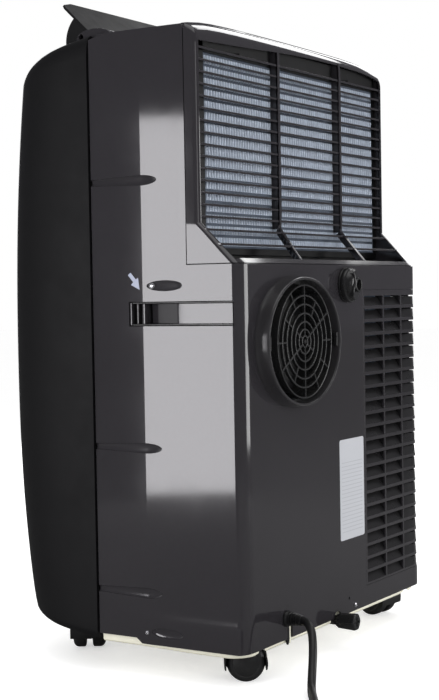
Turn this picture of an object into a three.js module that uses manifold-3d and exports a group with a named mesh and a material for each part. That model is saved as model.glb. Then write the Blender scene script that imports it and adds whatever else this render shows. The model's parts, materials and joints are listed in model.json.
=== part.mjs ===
// Portable air conditioner on casters: a free-standing upright unit with a bowed front
// shell, a U-shaped side and rear casing, and the working parts inside.
// Millimetres, +Z up. Front is -Y, rear is +Y. The casing's bottom edge is z = 0 in the
// model group, and the whole group is lifted by the height of the casters.
import * as THREE from "three";
import { mergeVertices } from "three/addons/utils/BufferGeometryUtils.js";
import Module from "manifold-3d";

const wasm = await Module();
wasm.setup();

// ---- driving dimensions -------------------------------------------------------------
const CASTER_LIFT = 38; // floor to the casing's bottom edge
const Y_SHIFT = -11.75; // puts the middle of the depth at Y = 0
const HALF_W = 233; // half the casing's width
const HEIGHT = 690; // casing height
const REAR_LOW = 188; // rear face below the slanted shelf
const REAR_TOP = 137; // rear face above it
const SHELF_LOW = 426; // slanted shelf, lower edge
const SHELF_TOP = 472; // slanted shelf, upper edge
const WALL = 3; // moulded wall thickness
const CORNER = 15; // vertical corner radius
const SEAM_FRONT = -8; // rear edge of the front shell
const SEAM_REAR = -1; // front edge of the casing
const SHELL_HALF = 235.5; // half width of the front shell
const SHELL_DEPTH = 182; // its depth from the seam, at its fullest height
const SHELL_POWER = 3.17; // squareness of its plan curve
const TOP_SLOPE = 0.17; // fall of the front top per mm forward
const GRILLE_Y = 121.5; // side seam of the intake grille
const COLLAR = { x: 114, z: 338, a: 87, b: 74, wall: 4, y1: 206, sleeve: 65.2 };
const FLAP = { y: -25, z: 691, half: 200, chord: 69, open: 43.5 };
const CORD_R = 4.75;
const COIL = { x: 325, y: 401.3, turn: 61.7 };

// ---- solids ---------------------------------------------------------------------------
const rad = (d) => (d * Math.PI) / 180;
const lerp = (a, b, t) => a + (b - a) * t;

function manifoldOf(geometry) {
  const g = geometry.clone();
  for (const k of Object.keys(g.attributes)) if (k !== "position") g.deleteAttribute(k);
  const m = mergeVertices(g, 1e-3);
  const p = m.attributes.position.array;
  const t = new Uint32Array(m.index.array);
  let v = 0;
  for (let i = 0; i < t.length; i += 3) {
    const a = t[i] * 3, b = t[i + 1] * 3, c = t[i + 2] * 3;
    v += p[a] * (p[b + 1] * p[c + 2] - p[b + 2] * p[c + 1]) -
      p[a + 1] * (p[b] * p[c + 2] - p[b + 2] * p[c]) +
      p[a + 2] * (p[b] * p[c + 1] - p[b + 1] * p[c]);
  }
  if (v < 0) for (let i = 0; i < t.length; i += 3) [t[i + 1], t[i + 2]] = [t[i + 2], t[i + 1]];
  return new wasm.Manifold(new wasm.Mesh({ numProp: 3, vertProperties: new Float32Array(p), triVerts: t }));
}
const union = (...s) => s.reduce((a, b) => a.add(b));
const cut = (s, ...tools) => tools.reduce((a, b) => a.subtract(b), s);

function box(x0, x1, y0, y1, z0, z1) {
  const g = new THREE.BoxGeometry(x1 - x0, y1 - y0, z1 - z0);
  g.translate((x0 + x1) / 2, (y0 + y1) / 2, (z0 + z1) / 2);
  return manifoldOf(g);
}
// a box turned about an axis through its own centre
function tiltedBox(cx, cy, cz, sx, sy, sz, axis, deg) {
  const g = new THREE.BoxGeometry(sx, sy, sz);
  if (axis === "x") g.rotateX(rad(deg));
  if (axis === "y") g.rotateY(rad(deg));
  if (axis === "z") g.rotateZ(rad(deg));
  g.translate(cx, cy, cz);
  return manifoldOf(g);
}
// cylinder or cone from p0 along axis ("x", "y" or "z")
function cyl(axis, x, y, z, r, len, seg = 16, r2 = r) {
  const g = new THREE.CylinderGeometry(r2, r, len, seg);
  g.translate(0, len / 2, 0);
  if (axis === "x") g.rotateZ(-Math.PI / 2);
  if (axis === "z") g.rotateX(Math.PI / 2);
  g.translate(x, y, z);
  return manifoldOf(g);
}
const tubeOf = (axis, x, y, z, ro, ri, len, seg = 16) => {
  const d = { x: 0, y: 0, z: 0 };
  d[axis] = 1;
  return cut(cyl(axis, x, y, z, ro, len, seg), cyl(axis, x - d.x, y - d.y, z - d.z, ri, len + 2, seg));
};
// closed loft through rings of points; each ring has the same number of points
function loft(rings) {
  const n = rings[0].length, verts = [], idx = [];
  rings.forEach((r) => r.forEach((p) => verts.push(...p)));
  for (let k = 0; k + 1 < rings.length; k++)
    for (let i = 0; i < n; i++) {
      const a = k * n + i, b = k * n + ((i + 1) % n), c = a + n, d = b + n;
      idx.push(a, b, d, a, d, c);
    }
  const cap = (k, flip) => {
    const flat = rings[k].map((p) => new THREE.Vector2(p[0], p[1]));
    let area = THREE.ShapeUtils.area(flat), uv = flat;
    if (Math.abs(area) < 1e-3) {
      uv = rings[k].map((p) => new THREE.Vector2(p[0], p[2]));
      if (Math.abs(THREE.ShapeUtils.area(uv)) < 1e-3) uv = rings[k].map((p) => new THREE.Vector2(p[1], p[2]));
    }
    for (const f of THREE.ShapeUtils.triangulateShape(uv, [])) {
      // keep the same turning sense as the ring itself
      const s = [...f].sort((p, q) => p - q);
      idx.push(...(flip ? [s[0], s[2], s[1]] : s).map((i) => i + k * n));
    }
  };
  cap(0, true);
  cap(rings.length - 1, false);
  const g = new THREE.BufferGeometry();
  g.setAttribute("position", new THREE.BufferAttribute(new Float32Array(verts), 3));
  g.setIndex(idx);
  return manifoldOf(g);
}
// prism: outline of [u, v] pairs; place(u, v, w) gives the point, w from w0 to w1
const prism = (outline, place, w0, w1) =>
  loft([outline.map(([u, v]) => place(u, v, w0)), outline.map(([u, v]) => place(u, v, w1))]);
const alongX = (u, v, w) => [w, u, v]; // outline in Y, Z
const alongY = (u, v, w) => [u, w, v]; // outline in X, Z
const alongZ = (u, v, w) => [u, v, w]; // outline in X, Y

function turn(solid, axis, deg, pivot) {
  const m = new THREE.Matrix4().makeTranslation(...pivot)
    .multiply(new THREE.Matrix4().makeRotationAxis(new THREE.Vector3(...axis), rad(deg)))
    .multiply(new THREE.Matrix4().makeTranslation(-pivot[0], -pivot[1], -pivot[2]));
  return solid.transform(m.elements);
}

// oval solid along Y on the exhaust's axis
const oval = (a, b, y0, y1, seg = 28) => {
  const o = [];
  for (let i = 0; i < seg; i++) o.push([COLLAR.x + a * Math.cos((2 * Math.PI * i) / seg), COLLAR.z + b * Math.sin((2 * Math.PI * i) / seg)]);
  return prism(o, alongY, y0, y1);
};

// ---- materials --------------------------------------------------------------------------
const mat = (color, roughness, metalness = 0) => new THREE.MeshStandardMaterial({ color, roughness, metalness });
const M = {
  matte: mat(0x1b1b1d, 0.6), gloss: mat(0x3a393c, 0.2), grille: mat(0x2b2b2e, 0.3), black: mat(0x141415, 0.45),
  cream: mat(0xd8d6c2, 0.6), white: mat(0xe9e9ea, 0.5), alu: mat(0xb9c3cc, 0.35, 1), steel: mat(0xc8c8c8, 0.3, 1),
  copper: mat(0xb4703c, 0.35, 1), rubber: mat(0x18181a, 0.7), board: mat(0x1f5b34, 0.5), glass: mat(0x08090b, 0.1),
  inner: mat(0x8d9094, 0.6), darkmetal: mat(0x1d1e20, 0.5, 0.3), red: mat(0x9c2a22, 0.5), key: mat(0x4a4a4e, 0.4),
};
const model = new THREE.Group();
model.position.set(0, Y_SHIFT, CASTER_LIFT);
function piece(name, solid, material) {
  const m = solid.getMesh();
  const g = new THREE.BufferGeometry();
  const p = new Float32Array((m.vertProperties.length / m.numProp) * 3);
  for (let i = 0; i < p.length / 3; i++) p.set(m.vertProperties.subarray(i * m.numProp, i * m.numProp + 3), i * 3);
  g.setAttribute("position", new THREE.BufferAttribute(p, 3));
  g.setIndex(new THREE.BufferAttribute(new Uint32Array(m.triVerts), 1));
  const mesh = new THREE.Mesh(g, material);
  mesh.name = name;
  model.add(mesh);
  return mesh;
}

// ---- front shell: bowed D-plan cover, kicked up below, sloping top -------------------------
const bow = (z) => (z > 330 ? 16 * ((z - 330) / 290) ** 2.2 : 16 * ((330 - z) / 265) ** 2.5);
const tilt = (z) => lerp(0.12, -TOP_SLOPE, z / HEIGHT);
function shellRing(z, insA, insB, yRear) {
  const a = SHELL_HALF - insA, b = SHELL_DEPTH - bow(z) - insB, ring = [];
  const N = 16;
  for (let i = 0; i <= N; i++) {
    const t = (Math.PI * i) / N, c = Math.cos(t), s = Math.sin(t);
    const x = a * Math.sign(c) * Math.abs(c) ** (2 / SHELL_POWER);
    const y = SEAM_FRONT - b * Math.abs(s) ** (2 / SHELL_POWER);
    ring.push([x, y, z + tilt(z) * (SEAM_FRONT - y)]);
  }
  if (yRear > SEAM_FRONT) {
    ring.unshift([a, yRear, z]);
    ring.push([-a, yRear, z]);
  }
  return ring;
}
const shellLevels = [
  [0, 3, 12], [8, 0, 2], [100, 0, 0], [330, 0, 0], [520, 0, 0], [620, 0, 0], [666, 0, 0],
  [680, 1.6, 7], [690, 9, 34],
];
{
  const outer = loft(shellLevels.map(([z, a, b]) => shellRing(z, a, b, SEAM_FRONT)));
  const inner = loft([[-12, 6, 16], [100, WALL, WALL], [330, WALL, WALL], [520, WALL, WALL], [620, WALL, WALL], [660, WALL, WALL + 1], [676, 5, 12], [686.5, 14, 34]]
    .map(([z, a, b]) => shellRing(z, a, b, SEAM_FRONT + 5)));
  let shell = cut(outer, inner);
  // air outlet under the flap, and the recess for the control panel
  shell = cut(shell, box(-203, 203, FLAP.y - 69, SEAM_FRONT + 2, 640, 720));
  shell = cut(shell, box(-96, 96, -158, -112, 640, 720), box(-223, 223, -32.6, SEAM_FRONT + 2, 676, 720));
  piece("front_shell", shell, M.matte);
}

// ---- rear casing: both sides and the rear, open in front, above and below ----------------------
function casingRing(z, yr, ins, yf) {
  const w = HALF_W - ins, r = CORNER - ins * 0.5, y = yr - ins, ring = [[w, yf, z], [w, 63, z]];
  for (let i = 0; i <= 3; i++) {
    const t = (Math.PI / 2) * (i / 3);
    ring.push([w - 1.5 - r + r * Math.cos(t), y - r + r * Math.sin(t), z]);
  }
  return [...ring, ...ring.map(([x, yy, zz]) => [-x, yy, zz]).reverse()];
}
const casingSolid = (ins, yf, z0, z1) =>
  loft([[z0, REAR_LOW], [SHELF_LOW, REAR_LOW], [SHELF_TOP, REAR_TOP], [z1, REAR_TOP]].map(([z, yr]) => casingRing(z, yr, ins, yf)));
const casingOuter = casingSolid(0, SEAM_REAR, 0, HEIGHT);
const casingInner = casingSolid(WALL, SEAM_REAR - 5, -5, HEIGHT + 5);
const grilleZone = box(-260, 260, GRILLE_Y, 220, SHELF_LOW + 1.5, 720);
const condZone = box(-260, -67, 150, 220, 26, 395);
{
  let casing = cut(casingOuter, casingInner);
  // inner flange that closes the dark seam groove behind the front shell
  const lip = cut(casingSolid(WALL + 1, SEAM_REAR - 6.6, 17, HEIGHT - 16), casingSolid(WALL + 4, SEAM_REAR - 12, 0, HEIGHT + 5), box(-260, 260, 12, 260, -20, 720));
  casing = union(casing, lip, ...[1, -1].map((s) => box(s > 0 ? 226 : -232, s > 0 ? 232 : -226, 4, 11, 20, 660)));
  casing = cut(casing, box(-260, 260, GRILLE_Y - 1.5, 220, SHELF_LOW, 720), box(-260, -65.5, 171, 220, 24.5, 396.5));
  // stepped lower edge at both sides, cord notch
  casing = cut(casing, box(-260, 260, -20, 50, -5, 6), box(126, 139.5, 180, 200, -5, 16));
  // duct opening and drain port opening
  casing = cut(casing, oval(COLLAR.a + 2.2, COLLAR.b + 2.2, 180, 200), cyl("y", -20, 180, 402, 12.8, 20, 14), cyl("y", 13, 180, -3, 9.8, 20, 14));
  casing = cut(casing, cyl("y", 140, 180, 24, 7.2, 20, 12), cyl("y", -34, 180, 7, 2.2, 20, 8));
  // long screw grooves running back from the seam, oval screw pocket, base screw
  for (const s of [1, -1]) {
    const gx = (z, y1) => prism([[-6, z - 5.5], [y1 - 14, z - 4.5], [y1, z], [y1 - 14, z + 4.5], [-6, z + 5.5]], alongX, s * 231.2, s * 240);
    casing = cut(casing, gx(522, 83), gx(222, 84), gx(58, 82));
    casing = cut(casing, box(s > 0 ? 216 : -240, s > 0 ? 240 : -216, 43, 172, 359, 386.5));
    casing = cut(casing, cyl("x", s > 0 ? 220 : -240, 74, 404, 2.6, 20, 8), cyl("x", s > 0 ? 220 : -240, 60, 13, 2.4, 20, 8));
  }
  piece("rear_casing", casing, M.gloss);
}

// ---- top cover: deck over the casing, with the rear wall of the air outlet ----------------------
{
  const deck = prism(
    [[222, -4], [227, 12], [227, 105], [218, 118], [-218, 118], [-227, 105], [-227, 12], [-222, -4]],
    alongZ, 688, 693,
  );
  const skirt = cut(box(-221, 221, 0, 114, 676, 689), box(-218, 218, 3, 111, 670, 688.4));
  let top = union(deck, skirt);
  // end bosses that carry the flap's trunnions
  for (const s of [1, -1]) {
    const b = prism([[-31, 684], [-16, 684], [-4, 688], [16, 690], [16, 694], [6, 698], [-8, 698.5], [-20, 697.5], [-31, 693]], alongX, s * 206.5, s * 222);
    top = union(top, cut(b, cyl("x", s > 0 ? 200 : -230, FLAP.y, FLAP.z, 3.4, 30, 12)));
  }
  piece("top_cover", top, M.gloss);
}

// ---- base pan: cream tray under the casing, with caster wells ------------------------------------
const CASTERS = [
  ["rear_right", 190, 151, 122.2], ["front_right", 149.5, -84.7, 212.2],
  ["rear_left", -190, 151, 262], ["front_left", -149.5, -84.7, 300],
];
{
  const ring = (z, ins) => [[228 - ins, -6, z], [226.5 - ins, 172 - ins, z], [222 - ins, 180 - ins, z], [214 - ins, 184 - ins, z]];
  const full = (z, ins) => { const r = ring(z, ins); return [...r, ...r.map(([x, y, q]) => [-x, y, q]).reverse()]; };
  let pan = loft([full(-7, 8), full(-3, 0.6), full(16, 0)]);
  pan = union(pan, prism([[195, -5], [195, -80], [155, -120], [-155, -120], [-195, -80], [-195, -5]], alongZ, 0.6, 16), cyl("y", 13, 150, -3, 9.2, 34.4, 12));
  pan = cut(pan, box(-205, 205, 8, 120, 6, 30));
  for (const [, x, y] of CASTERS) pan = cut(pan, cyl("z", x, y, -20, 33.6, 30, 18), cyl("z", x, y, 0, 5.4, 30, 8));
  pan = cut(pan, cyl("y", 13, 140, -3, 6.3, 60, 12), cyl("y", -34, 160, 7, 2.2, 40, 8), cyl("x", 210, 60, 13, 2.2, 40, 8), box(-260, 260, -10, 13, 13, 30));
  piece("base_pan", pan, M.cream);
}

// ---- intake grille: removable piece with the rounded top rear edge and slanted shelf ---------------
{
  let g = cut(casingOuter.intersect(grilleZone), casingInner);
  // rounded top: close it to the deck with a rolled edge
  g = union(g, prism([[GRILLE_Y, 683], [GRILLE_Y, 690], [131, 689], [136, 684], [136.9, 678], [134, 676]], alongX, -231, 231));
  g = g.intersect(casingSolid(0.02, SEAM_REAR, 0, HEIGHT + 1));
  const win = [[58, 224], [-105, 49], [-222, -114]];
  for (const [a, b] of win) g = cut(g, box(a, b, 132, 145, 480, 668), prism([[130, 486], [145, 486], [145, 470], [185, 440], [185, 428], [175, 428]], alongX, a, b).intersect(box(a, b, 120, 190, 433, 486)));
  for (let i = 0; i < 7; i++) g = union(g, box(-227, 228.8, 129, 136.9, 492 + 26.4 * i - 1.4, 492 + 26.4 * i + 1.4));
  for (const t of [0.45]) {
    const y = lerp(REAR_TOP, REAR_LOW, t), z = lerp(SHELF_TOP, SHELF_LOW, t);
    g = union(g, box(-227, 228.5, y - 9, y - 0.4, z - 1.4, z + 0.0));
  }
  piece("intake_grille", g, M.grille);
}

// ---- air filter: three-window frame with coarse bars, clipped inside the grille ---------------------
{
  let f = box(-222, 222, 118, 124, 440, 676);
  for (const [a, b] of [[66, 214], [-97, 57], [-214, -106]]) f = cut(f, box(a, b, 110, 130, 452, 664));
  f = union(f, ...[0, 1].map((i) => box(-216, 216, 119.5, 122.5, 520 + 70 * i, 522.4 + 70 * i)));
  piece("air_filter", f, M.black);
}
piece("evaporator_coil", box(-215, 215, 72, 108, 448, 672), M.alu);

// ---- condenser louvre: wraps the far rear corner -----------------------------------------------------
{
  const zone = box(-260, -66.8, 172.3, 220, 25.8, 395.2);
  let c = cut(casingSolid(0.02, SEAM_REAR, 0, HEIGHT).intersect(zone), casingSolid(9, SEAM_REAR - 5, -5, HEIGHT + 5));
  for (let i = 0; i < 11; i++) {
    const z = 44.2 + 32.8 * i;
    const slot = (x0, x1, y0, y1) => box(x0, x1, y0, y1, z - 12, z + 12);
    c = cut(c, slot(-124, -70, 165, 200), slot(-177, -128, 165, 200), slot(-240, -181, 175, 200));
  }
  piece("condenser_grille", c, M.grille);
}
piece("condenser_coil", box(-206, -70, 130, 162, 30, 392), M.alu);

// ---- exhaust: oval collar round a sleeve with a ringed guard; the hose end slides in between ----------
{
  const w = COLLAR.wall;
  let ring = union(oval(COLLAR.a + 1.6, COLLAR.b + 1.6, 186, 189.4), oval(COLLAR.a, COLLAR.b, 189, COLLAR.y1));
  ring = cut(ring, oval(COLLAR.a - w, COLLAR.b - w, 189.4, 220), cyl("y", COLLAR.x, 180, COLLAR.z, 66, 40, 24));
  // two clips that hold the hose end, at the sides of the slot
  for (const sx of [-1, 1]) ring = union(ring, box(COLLAR.x + sx * 82 - 2.4, COLLAR.x + sx * 82 + 2.4, 199, 203, COLLAR.z - 7, COLLAR.z + 7));
  piece("exhaust_collar", ring, M.black);
  let guard = tubeOf("y", COLLAR.x, 180.5, COLLAR.z, COLLAR.sleeve, 62.6, 23.5, 24);
  for (const r of [49, 33]) guard = union(guard, tubeOf("y", COLLAR.x, 199.4, COLLAR.z, r + 1.4, r - 1.4, 4.2, 16));
  guard = union(guard, cyl("y", COLLAR.x, 199.4, COLLAR.z, 8, 4.2, 12));
  for (const d of [0, 60, 120]) guard = union(guard, tiltedBox(COLLAR.x, 201.4, COLLAR.z, 126.8, 3, 2.6, "y", d));
  piece("exhaust_guard", guard, M.black);
}

// ---- drains --------------------------------------------------------------------------------------------
piece("upper_drain_port", cut(union(cyl("y", -20, 168, 402, 12.2, 20.6, 14), cyl("y", -20, 188.4, 402, 21, 2.4, 18)), cyl("y", -20, 160, 402, 9.6, 40, 14)), M.black);
{
  let cap = cyl("y", -20, 191.2, 402, 20.4, 5, 18, 19.6);
  cap = union(cap, cyl("y", -20, 194, 402, 16.4, 10.4, 18), cyl("y", -20, 174, 402, 9.0, 18, 12), tiltedBox(-20, 205, 402, 5, 3.6, 31, "y", 12));
  cap = cut(cap, cyl("y", -26.5, 199, 402, 6.4, 20, 12));
  piece("upper_drain_cap", cap, M.black);
  let low = union(cyl("y", 13, 189, -3, 9.6, 24.5, 6, 10.8), cyl("y", 13, 168, -3, 5.9, 22, 10));
  low = cut(low, box(7.5, 18.5, 211.5, 216, -4.2, -1.8), box(11.8, 14.2, 211.5, 216, -8.5, 2.5));
  piece("lower_drain_cap", low, M.black);
}

// ---- handle cups ------------------------------------------------------------------------------------------
for (const [name, s] of [["right_handle_cup", 1], ["left_handle_cup", -1]]) {
  const X = (a, b) => (s > 0 ? [a, b] : [-b, -a]);
  let cup = box(...X(203, 232.4), 44.2, 170.8, 360.2, 385.3);
  const scoop = prism([[206, 47.5], [206, 78], [231.5, 168], [240, 168], [240, 47.5]], (u, v, w) => [s * u, v, w], 363, 382.5);
  cup = cut(cup, scoop, prism([[200, 90], [224, 174], [200, 174]], (u, v, w) => [s * u, v, w], 355, 390));
  cup = union(cup, box(...X(206, 230), 53, 55.5, 362.5, 383), box(...X(206, 230), 61, 63.5, 362.5, 383));
  piece(name, cup, M.gloss);
}
piece("rating_label", box(-62, 3, REAR_LOW + 0.3, REAR_LOW + 0.8, 91, 214), M.white);

// ---- screws -----------------------------------------------------------------------------------------------
const screwX = (y, z, r) => union(cyl("x", 233.3, y, z, r, 1.6, 10), cyl("x", 222, y, z, r * 0.5, 12, 6));
piece("pocket_screw", screwX(74, 404, 4.2), M.steel);
piece("base_screw", screwX(60, 13, 3.4), M.steel);
piece("rear_screw", union(cyl("y", -34, 188.3, 7, 3.4, 1.6, 12), cyl("y", -34, 178, 7, 1.7, 11, 8)), M.steel);

// ---- outlet flap, its motor, the vanes and their link --------------------------------------------------------
{
  const f = FLAP;
  // built level, pointing forward from the hinge line, then swung open
  let flap = prism(
    [[-f.half, f.y + 1.5], [-f.half, f.y - f.chord + 7], [-f.half + 22, f.y - f.chord], [f.half - 22, f.y - f.chord], [f.half, f.y - f.chord + 7], [f.half, f.y + 1.5]],
    alongZ, f.z + 1.2, f.z + 4.6,
  );
  for (const s of [1, -1]) {
    const arc = [[f.y + 2, f.z + 1.6], [f.y - 38.4, f.z + 1.6]];
    for (let i = 0; i <= 6; i++) {
      const t = rad(183 + 43 * (i / 6));
      arc.push([f.y + 38.5 * Math.cos(t), f.z + 38.5 * Math.sin(t)]);
    }
    arc.push([f.y + 2, f.z - 3]);
    flap = union(flap, prism(arc, alongX, s * 196.6, s * 199.4), cyl("x", s > 0 ? 196 : -216, f.y, f.z, 3, 20, 12));
  }
  flap = union(flap, cyl("x", -199, f.y, f.z, 3.6, 398, 8));
  flap = turn(flap, [1, 0, 0], -f.open, [0, f.y, f.z]);
  piece("outlet_flap", flap, M.matte);
  piece("flap_motor", union(cyl("x", 206, -52, 650, 12, 14, 12), box(206, 208, -70, -34, 645, 655)), M.steel);
}
const VANES = [-140, -70, 0, 70, 140], VANE_Y = -50;
VANES.forEach((x, i) => {
  const blade = prism([[x - 1.1, VANE_Y - 24], [x + 1.1, VANE_Y - 24], [x + 1.1, VANE_Y + 16], [x - 1.1, VANE_Y + 16]], alongZ, 622, 658);
  const v = union(blade, cyl("z", x, VANE_Y, 592, 2.6, 66, 6), cyl("z", x, VANE_Y - 20, 611, 1.6, 14, 6));
  piece("vane_" + (i + 1), v, M.black);
});
{
  let link = box(-150, 150, VANE_Y - 24.5, VANE_Y - 15.5, 611.5, 615.5);
  for (const x of VANES) link = cut(link, cyl("z", x, VANE_Y - 20, 600, x === -140 ? 1.9 : 2.4, 30, 8));
  piece("vane_link", link, M.black);
  let duct = cut(box(-190, 190, -92, -8, 598, 662), box(-186, 186, -88, -12, 604, 700));
  for (const x of VANES) duct = cut(duct, cyl("z", x, VANE_Y, 585, 3.1, 40, 8));
  duct = cut(duct, box(-180, 180, -40, -12.0, 590, 610));
  duct = union(duct, box(-186.5, 186.5, VANE_Y - 4, VANE_Y + 4, 598, 603));
  for (const x of VANES) duct = cut(duct, cyl("z", x, VANE_Y, 585, 3.1, 40, 8));
  piece("outlet_duct", duct, M.inner);
}

// ---- control panel ---------------------------------------------------------------------------------------------
const panelZ = (y) => HEIGHT - TOP_SLOPE * (SEAM_FRONT - y);
const PANEL_Y = -135, PZ = panelZ(PANEL_Y), TILT = (Math.atan(TOP_SLOPE) * 180) / Math.PI;
const onPanel = (s) => turn(s, [1, 0, 0], TILT, [0, PANEL_Y, PZ]);
{
  let p = box(-95, 95, PANEL_Y - 22, PANEL_Y + 22, PZ - 4, PZ - 0.2);
  const keys = [-72, -48, 24, 48, 72];
  for (const x of keys) p = cut(p, cyl("z", x, PANEL_Y, PZ - 10, 7.4, 20, 12));
  p = cut(p, box(-30.5, 8.5, PANEL_Y - 12.5, PANEL_Y + 12.5, PZ - 2.4, PZ + 5));
  piece("control_panel", onPanel(p), M.black);
  piece("display_window", onPanel(box(-30, 8, PANEL_Y - 12, PANEL_Y + 12, PZ - 2, PZ)), M.glass);
  ["power", "mode", "down", "up", "timer"].forEach((k, i) =>
    piece("button_" + k, onPanel(union(cyl("z", keys[i], PANEL_Y, PZ - 4.5, 6.8, 6.3, 12), cyl("z", keys[i], PANEL_Y, PZ - 7, 2.2, 3, 6))), M.key));
  piece("control_board", onPanel(box(-92, 92, PANEL_Y - 19, PANEL_Y + 19, PZ - 16, PZ - 13.5)), M.board);
}

// ---- blowers -----------------------------------------------------------------------------------------------------
function blower(x, y0, z, r, w) {
  let b = union(cyl("y", x, y0, z, r, 2, 16), cyl("y", x, y0, z, 12, w * 0.6, 8), tubeOf("y", x, y0 + w - 3, z, r, r - 9, 3, 16));
  for (let i = 0; i < 9; i++) {
    const t = 40 * i;
    b = union(b, tiltedBox(x + (r - 5) * Math.cos(rad(t)), y0 + w / 2, z + (r - 5) * Math.sin(rad(t)), 8, w - 1, 1.4, "y", -t + 28));
  }
  return cut(b, cyl("y", x, y0 - 5, z, 4.2, w + 10, 8));
}
function scroll(x, z, r, y0, y1, mouth) {
  const out = [], inn = [];
  for (let i = 0; i <= 18; i++) {
    const t = rad(-60 + 300 * (i / 18)), g = 6 + 20 * (i / 18);
    out.push([x + (r + g + 2.5) * Math.cos(t), z + (r + g + 2.5) * Math.sin(t)]);
    inn.push([x + (r + g) * Math.cos(t), z + (r + g) * Math.sin(t)]);
  }
  let s = cut(prism(out, alongY, y0, y1), prism(inn, alongY, y0 + 2.5, y1 + 1));
  s = cut(s, cyl("y", x, y0 - 5, z, 15, 12, 16));
  return mouth ? cut(s, mouth) : s;
}
piece("evaporator_blower", blower(0, 6, 545, 78, 50), M.black);
piece("evaporator_scroll", scroll(0, 545, 80, 1, 60, box(-60, 60, 0, 80, 600, 680)), M.inner);
piece("evaporator_motor", union(cyl("y", 0, -52, 545, 36, 44, 18), cyl("y", 0, -8, 545, 3.7, 46, 8)), M.darkmetal);
piece("condenser_blower", blower(100, 104, 320, 66, 44), M.black);
piece("condenser_scroll", cut(union(scroll(100, 320, 68, 99, 152, null), box(40, 60, 99, 101.5, 225, 300)), cyl("y", COLLAR.x, 140, COLLAR.z, 60, 40, 16)), M.inner);
piece("condenser_motor", union(cyl("y", 100, 44, 320, 34, 46, 18), cyl("y", 100, 90, 320, 3.7, 50, 8)), M.darkmetal);

// ---- refrigeration parts ---------------------------------------------------------------------------------------------
// rotary compressor with its suction accumulator strapped on
piece("compressor", union(
  cyl("z", -20, 62, 22, 52, 130, 18), cyl("z", -20, 62, 152, 52, 24, 18, 30), box(-74, 34, 40, 84, 17, 22.5),
  cyl("z", 58, 62, 48, 19, 86, 14), cyl("z", 58, 62, 134, 19, 10, 14, 8), cyl("z", 58, 62, 40, 8, 8, 14, 19), box(26, 44, 52, 72, 84, 96),
), M.darkmetal);
{
  const pts = [[-20, 62, 177], [-20, 62, 205], [-60, 70, 225], [-130, 90, 232], [-150, 100, 300], [-150, 96, 400], [-150, 90, 446]].map((p) => new THREE.Vector3(...p));
  const o = new THREE.Shape();
  for (let i = 0; i < 8; i++) { const t = (Math.PI / 4) * i; i ? o.lineTo(5 * Math.cos(t), 5 * Math.sin(t)) : o.moveTo(5, 0); }
  piece("refrigerant_pipe", manifoldOf(new THREE.ExtrudeGeometry(o, { steps: 24, extrudePath: new THREE.CatmullRomCurve3(pts) })), M.copper);
}
piece("drain_tray", cut(box(-222, 222, 64, 114, 418, 444), box(-218, 218, 67, 111, 422, 450), box(-156, -144, 82, 102, 410, 430)), M.inner);

// ---- casters ------------------------------------------------------------------------------------------------------------
const WHEEL_R = 21.4, WHEEL_Z = WHEEL_R - CASTER_LIFT, TRAIL = 10;
for (const [name, sx, sy, yaw] of CASTERS) {
  // local frame: swivel axis at the origin, wheel ahead along +X, axle along Y
  const g = new THREE.Matrix4().makeTranslation(sx, sy, 0).multiply(new THREE.Matrix4().makeRotationZ(rad(yaw)));
  const place = (s) => s.transform(g.elements);
  let hood = union(cyl("y", TRAIL, -3.6, WHEEL_Z, 23.4, 7.2, 16), cyl("z", 0, 0, 5.4, 13, 3, 12), cyl("z", 0, 0, 6, 4.8, 9, 8));
  const skirt = (a0) => {
    const p = [];
    for (let i = 0; i <= 2; i++) { const t = rad(a0 + 36 * (i / 2)); p.push([TRAIL + 24.4 * Math.cos(t), WHEEL_Z + 24.4 * Math.sin(t)]); }
    for (let i = 2; i >= 0; i--) { const t = rad(a0 + 36 * (i / 2)); p.push([TRAIL + 22.8 * Math.cos(t), WHEEL_Z + 22.8 * Math.sin(t)]); }
    return prism(p, alongY, -22, 22);
  };
  hood = union(hood, skirt(-17), skirt(161));
  hood = cut(hood, box(-60, 60, -30, 30, -60, WHEEL_Z - 8.5), cyl("y", TRAIL, -30, WHEEL_Z, 4.4, 60, 8));
  piece("caster_hood_" + name, place(hood), M.black);
  let w = cyl("y", TRAIL, -22, WHEEL_Z, 4, 44, 8);
  for (const s of [1, -1]) {
    const a = [[4.2, 21.4], [14, 21.4], [19.5, 17.5], [22.5, 10]].map(([y, r]) => [y, r]);
    const prof = [[0.001, 4.2], ...a.map(([y, r]) => [r, y]), [0.001, 22.5]].map(([r, y]) => new THREE.Vector2(Math.max(r, 0), s * y));
    prof[0].x = 0; prof[prof.length - 1].x = 0;
    const lg = new THREE.LatheGeometry(prof, 16);
    lg.translate(TRAIL, 0, WHEEL_Z);
    w = union(w, manifoldOf(lg));
  }
  piece("caster_wheel_" + name, place(w), M.black);
}

// ---- power cord: gland, free length on the floor, coil, plug ------------------------------------------------------------------
piece("cord_gland", union(tubeOf("y", 140, 183, 24, 6.9, 5.6, 6, 10), tubeOf("y", 140, 188.4, 24, 9, 5.6, 2.4, 10)), M.rubber);
const FLOOR = -CASTER_LIFT, LIE = FLOOR + CORD_R + 0.15;
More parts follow.
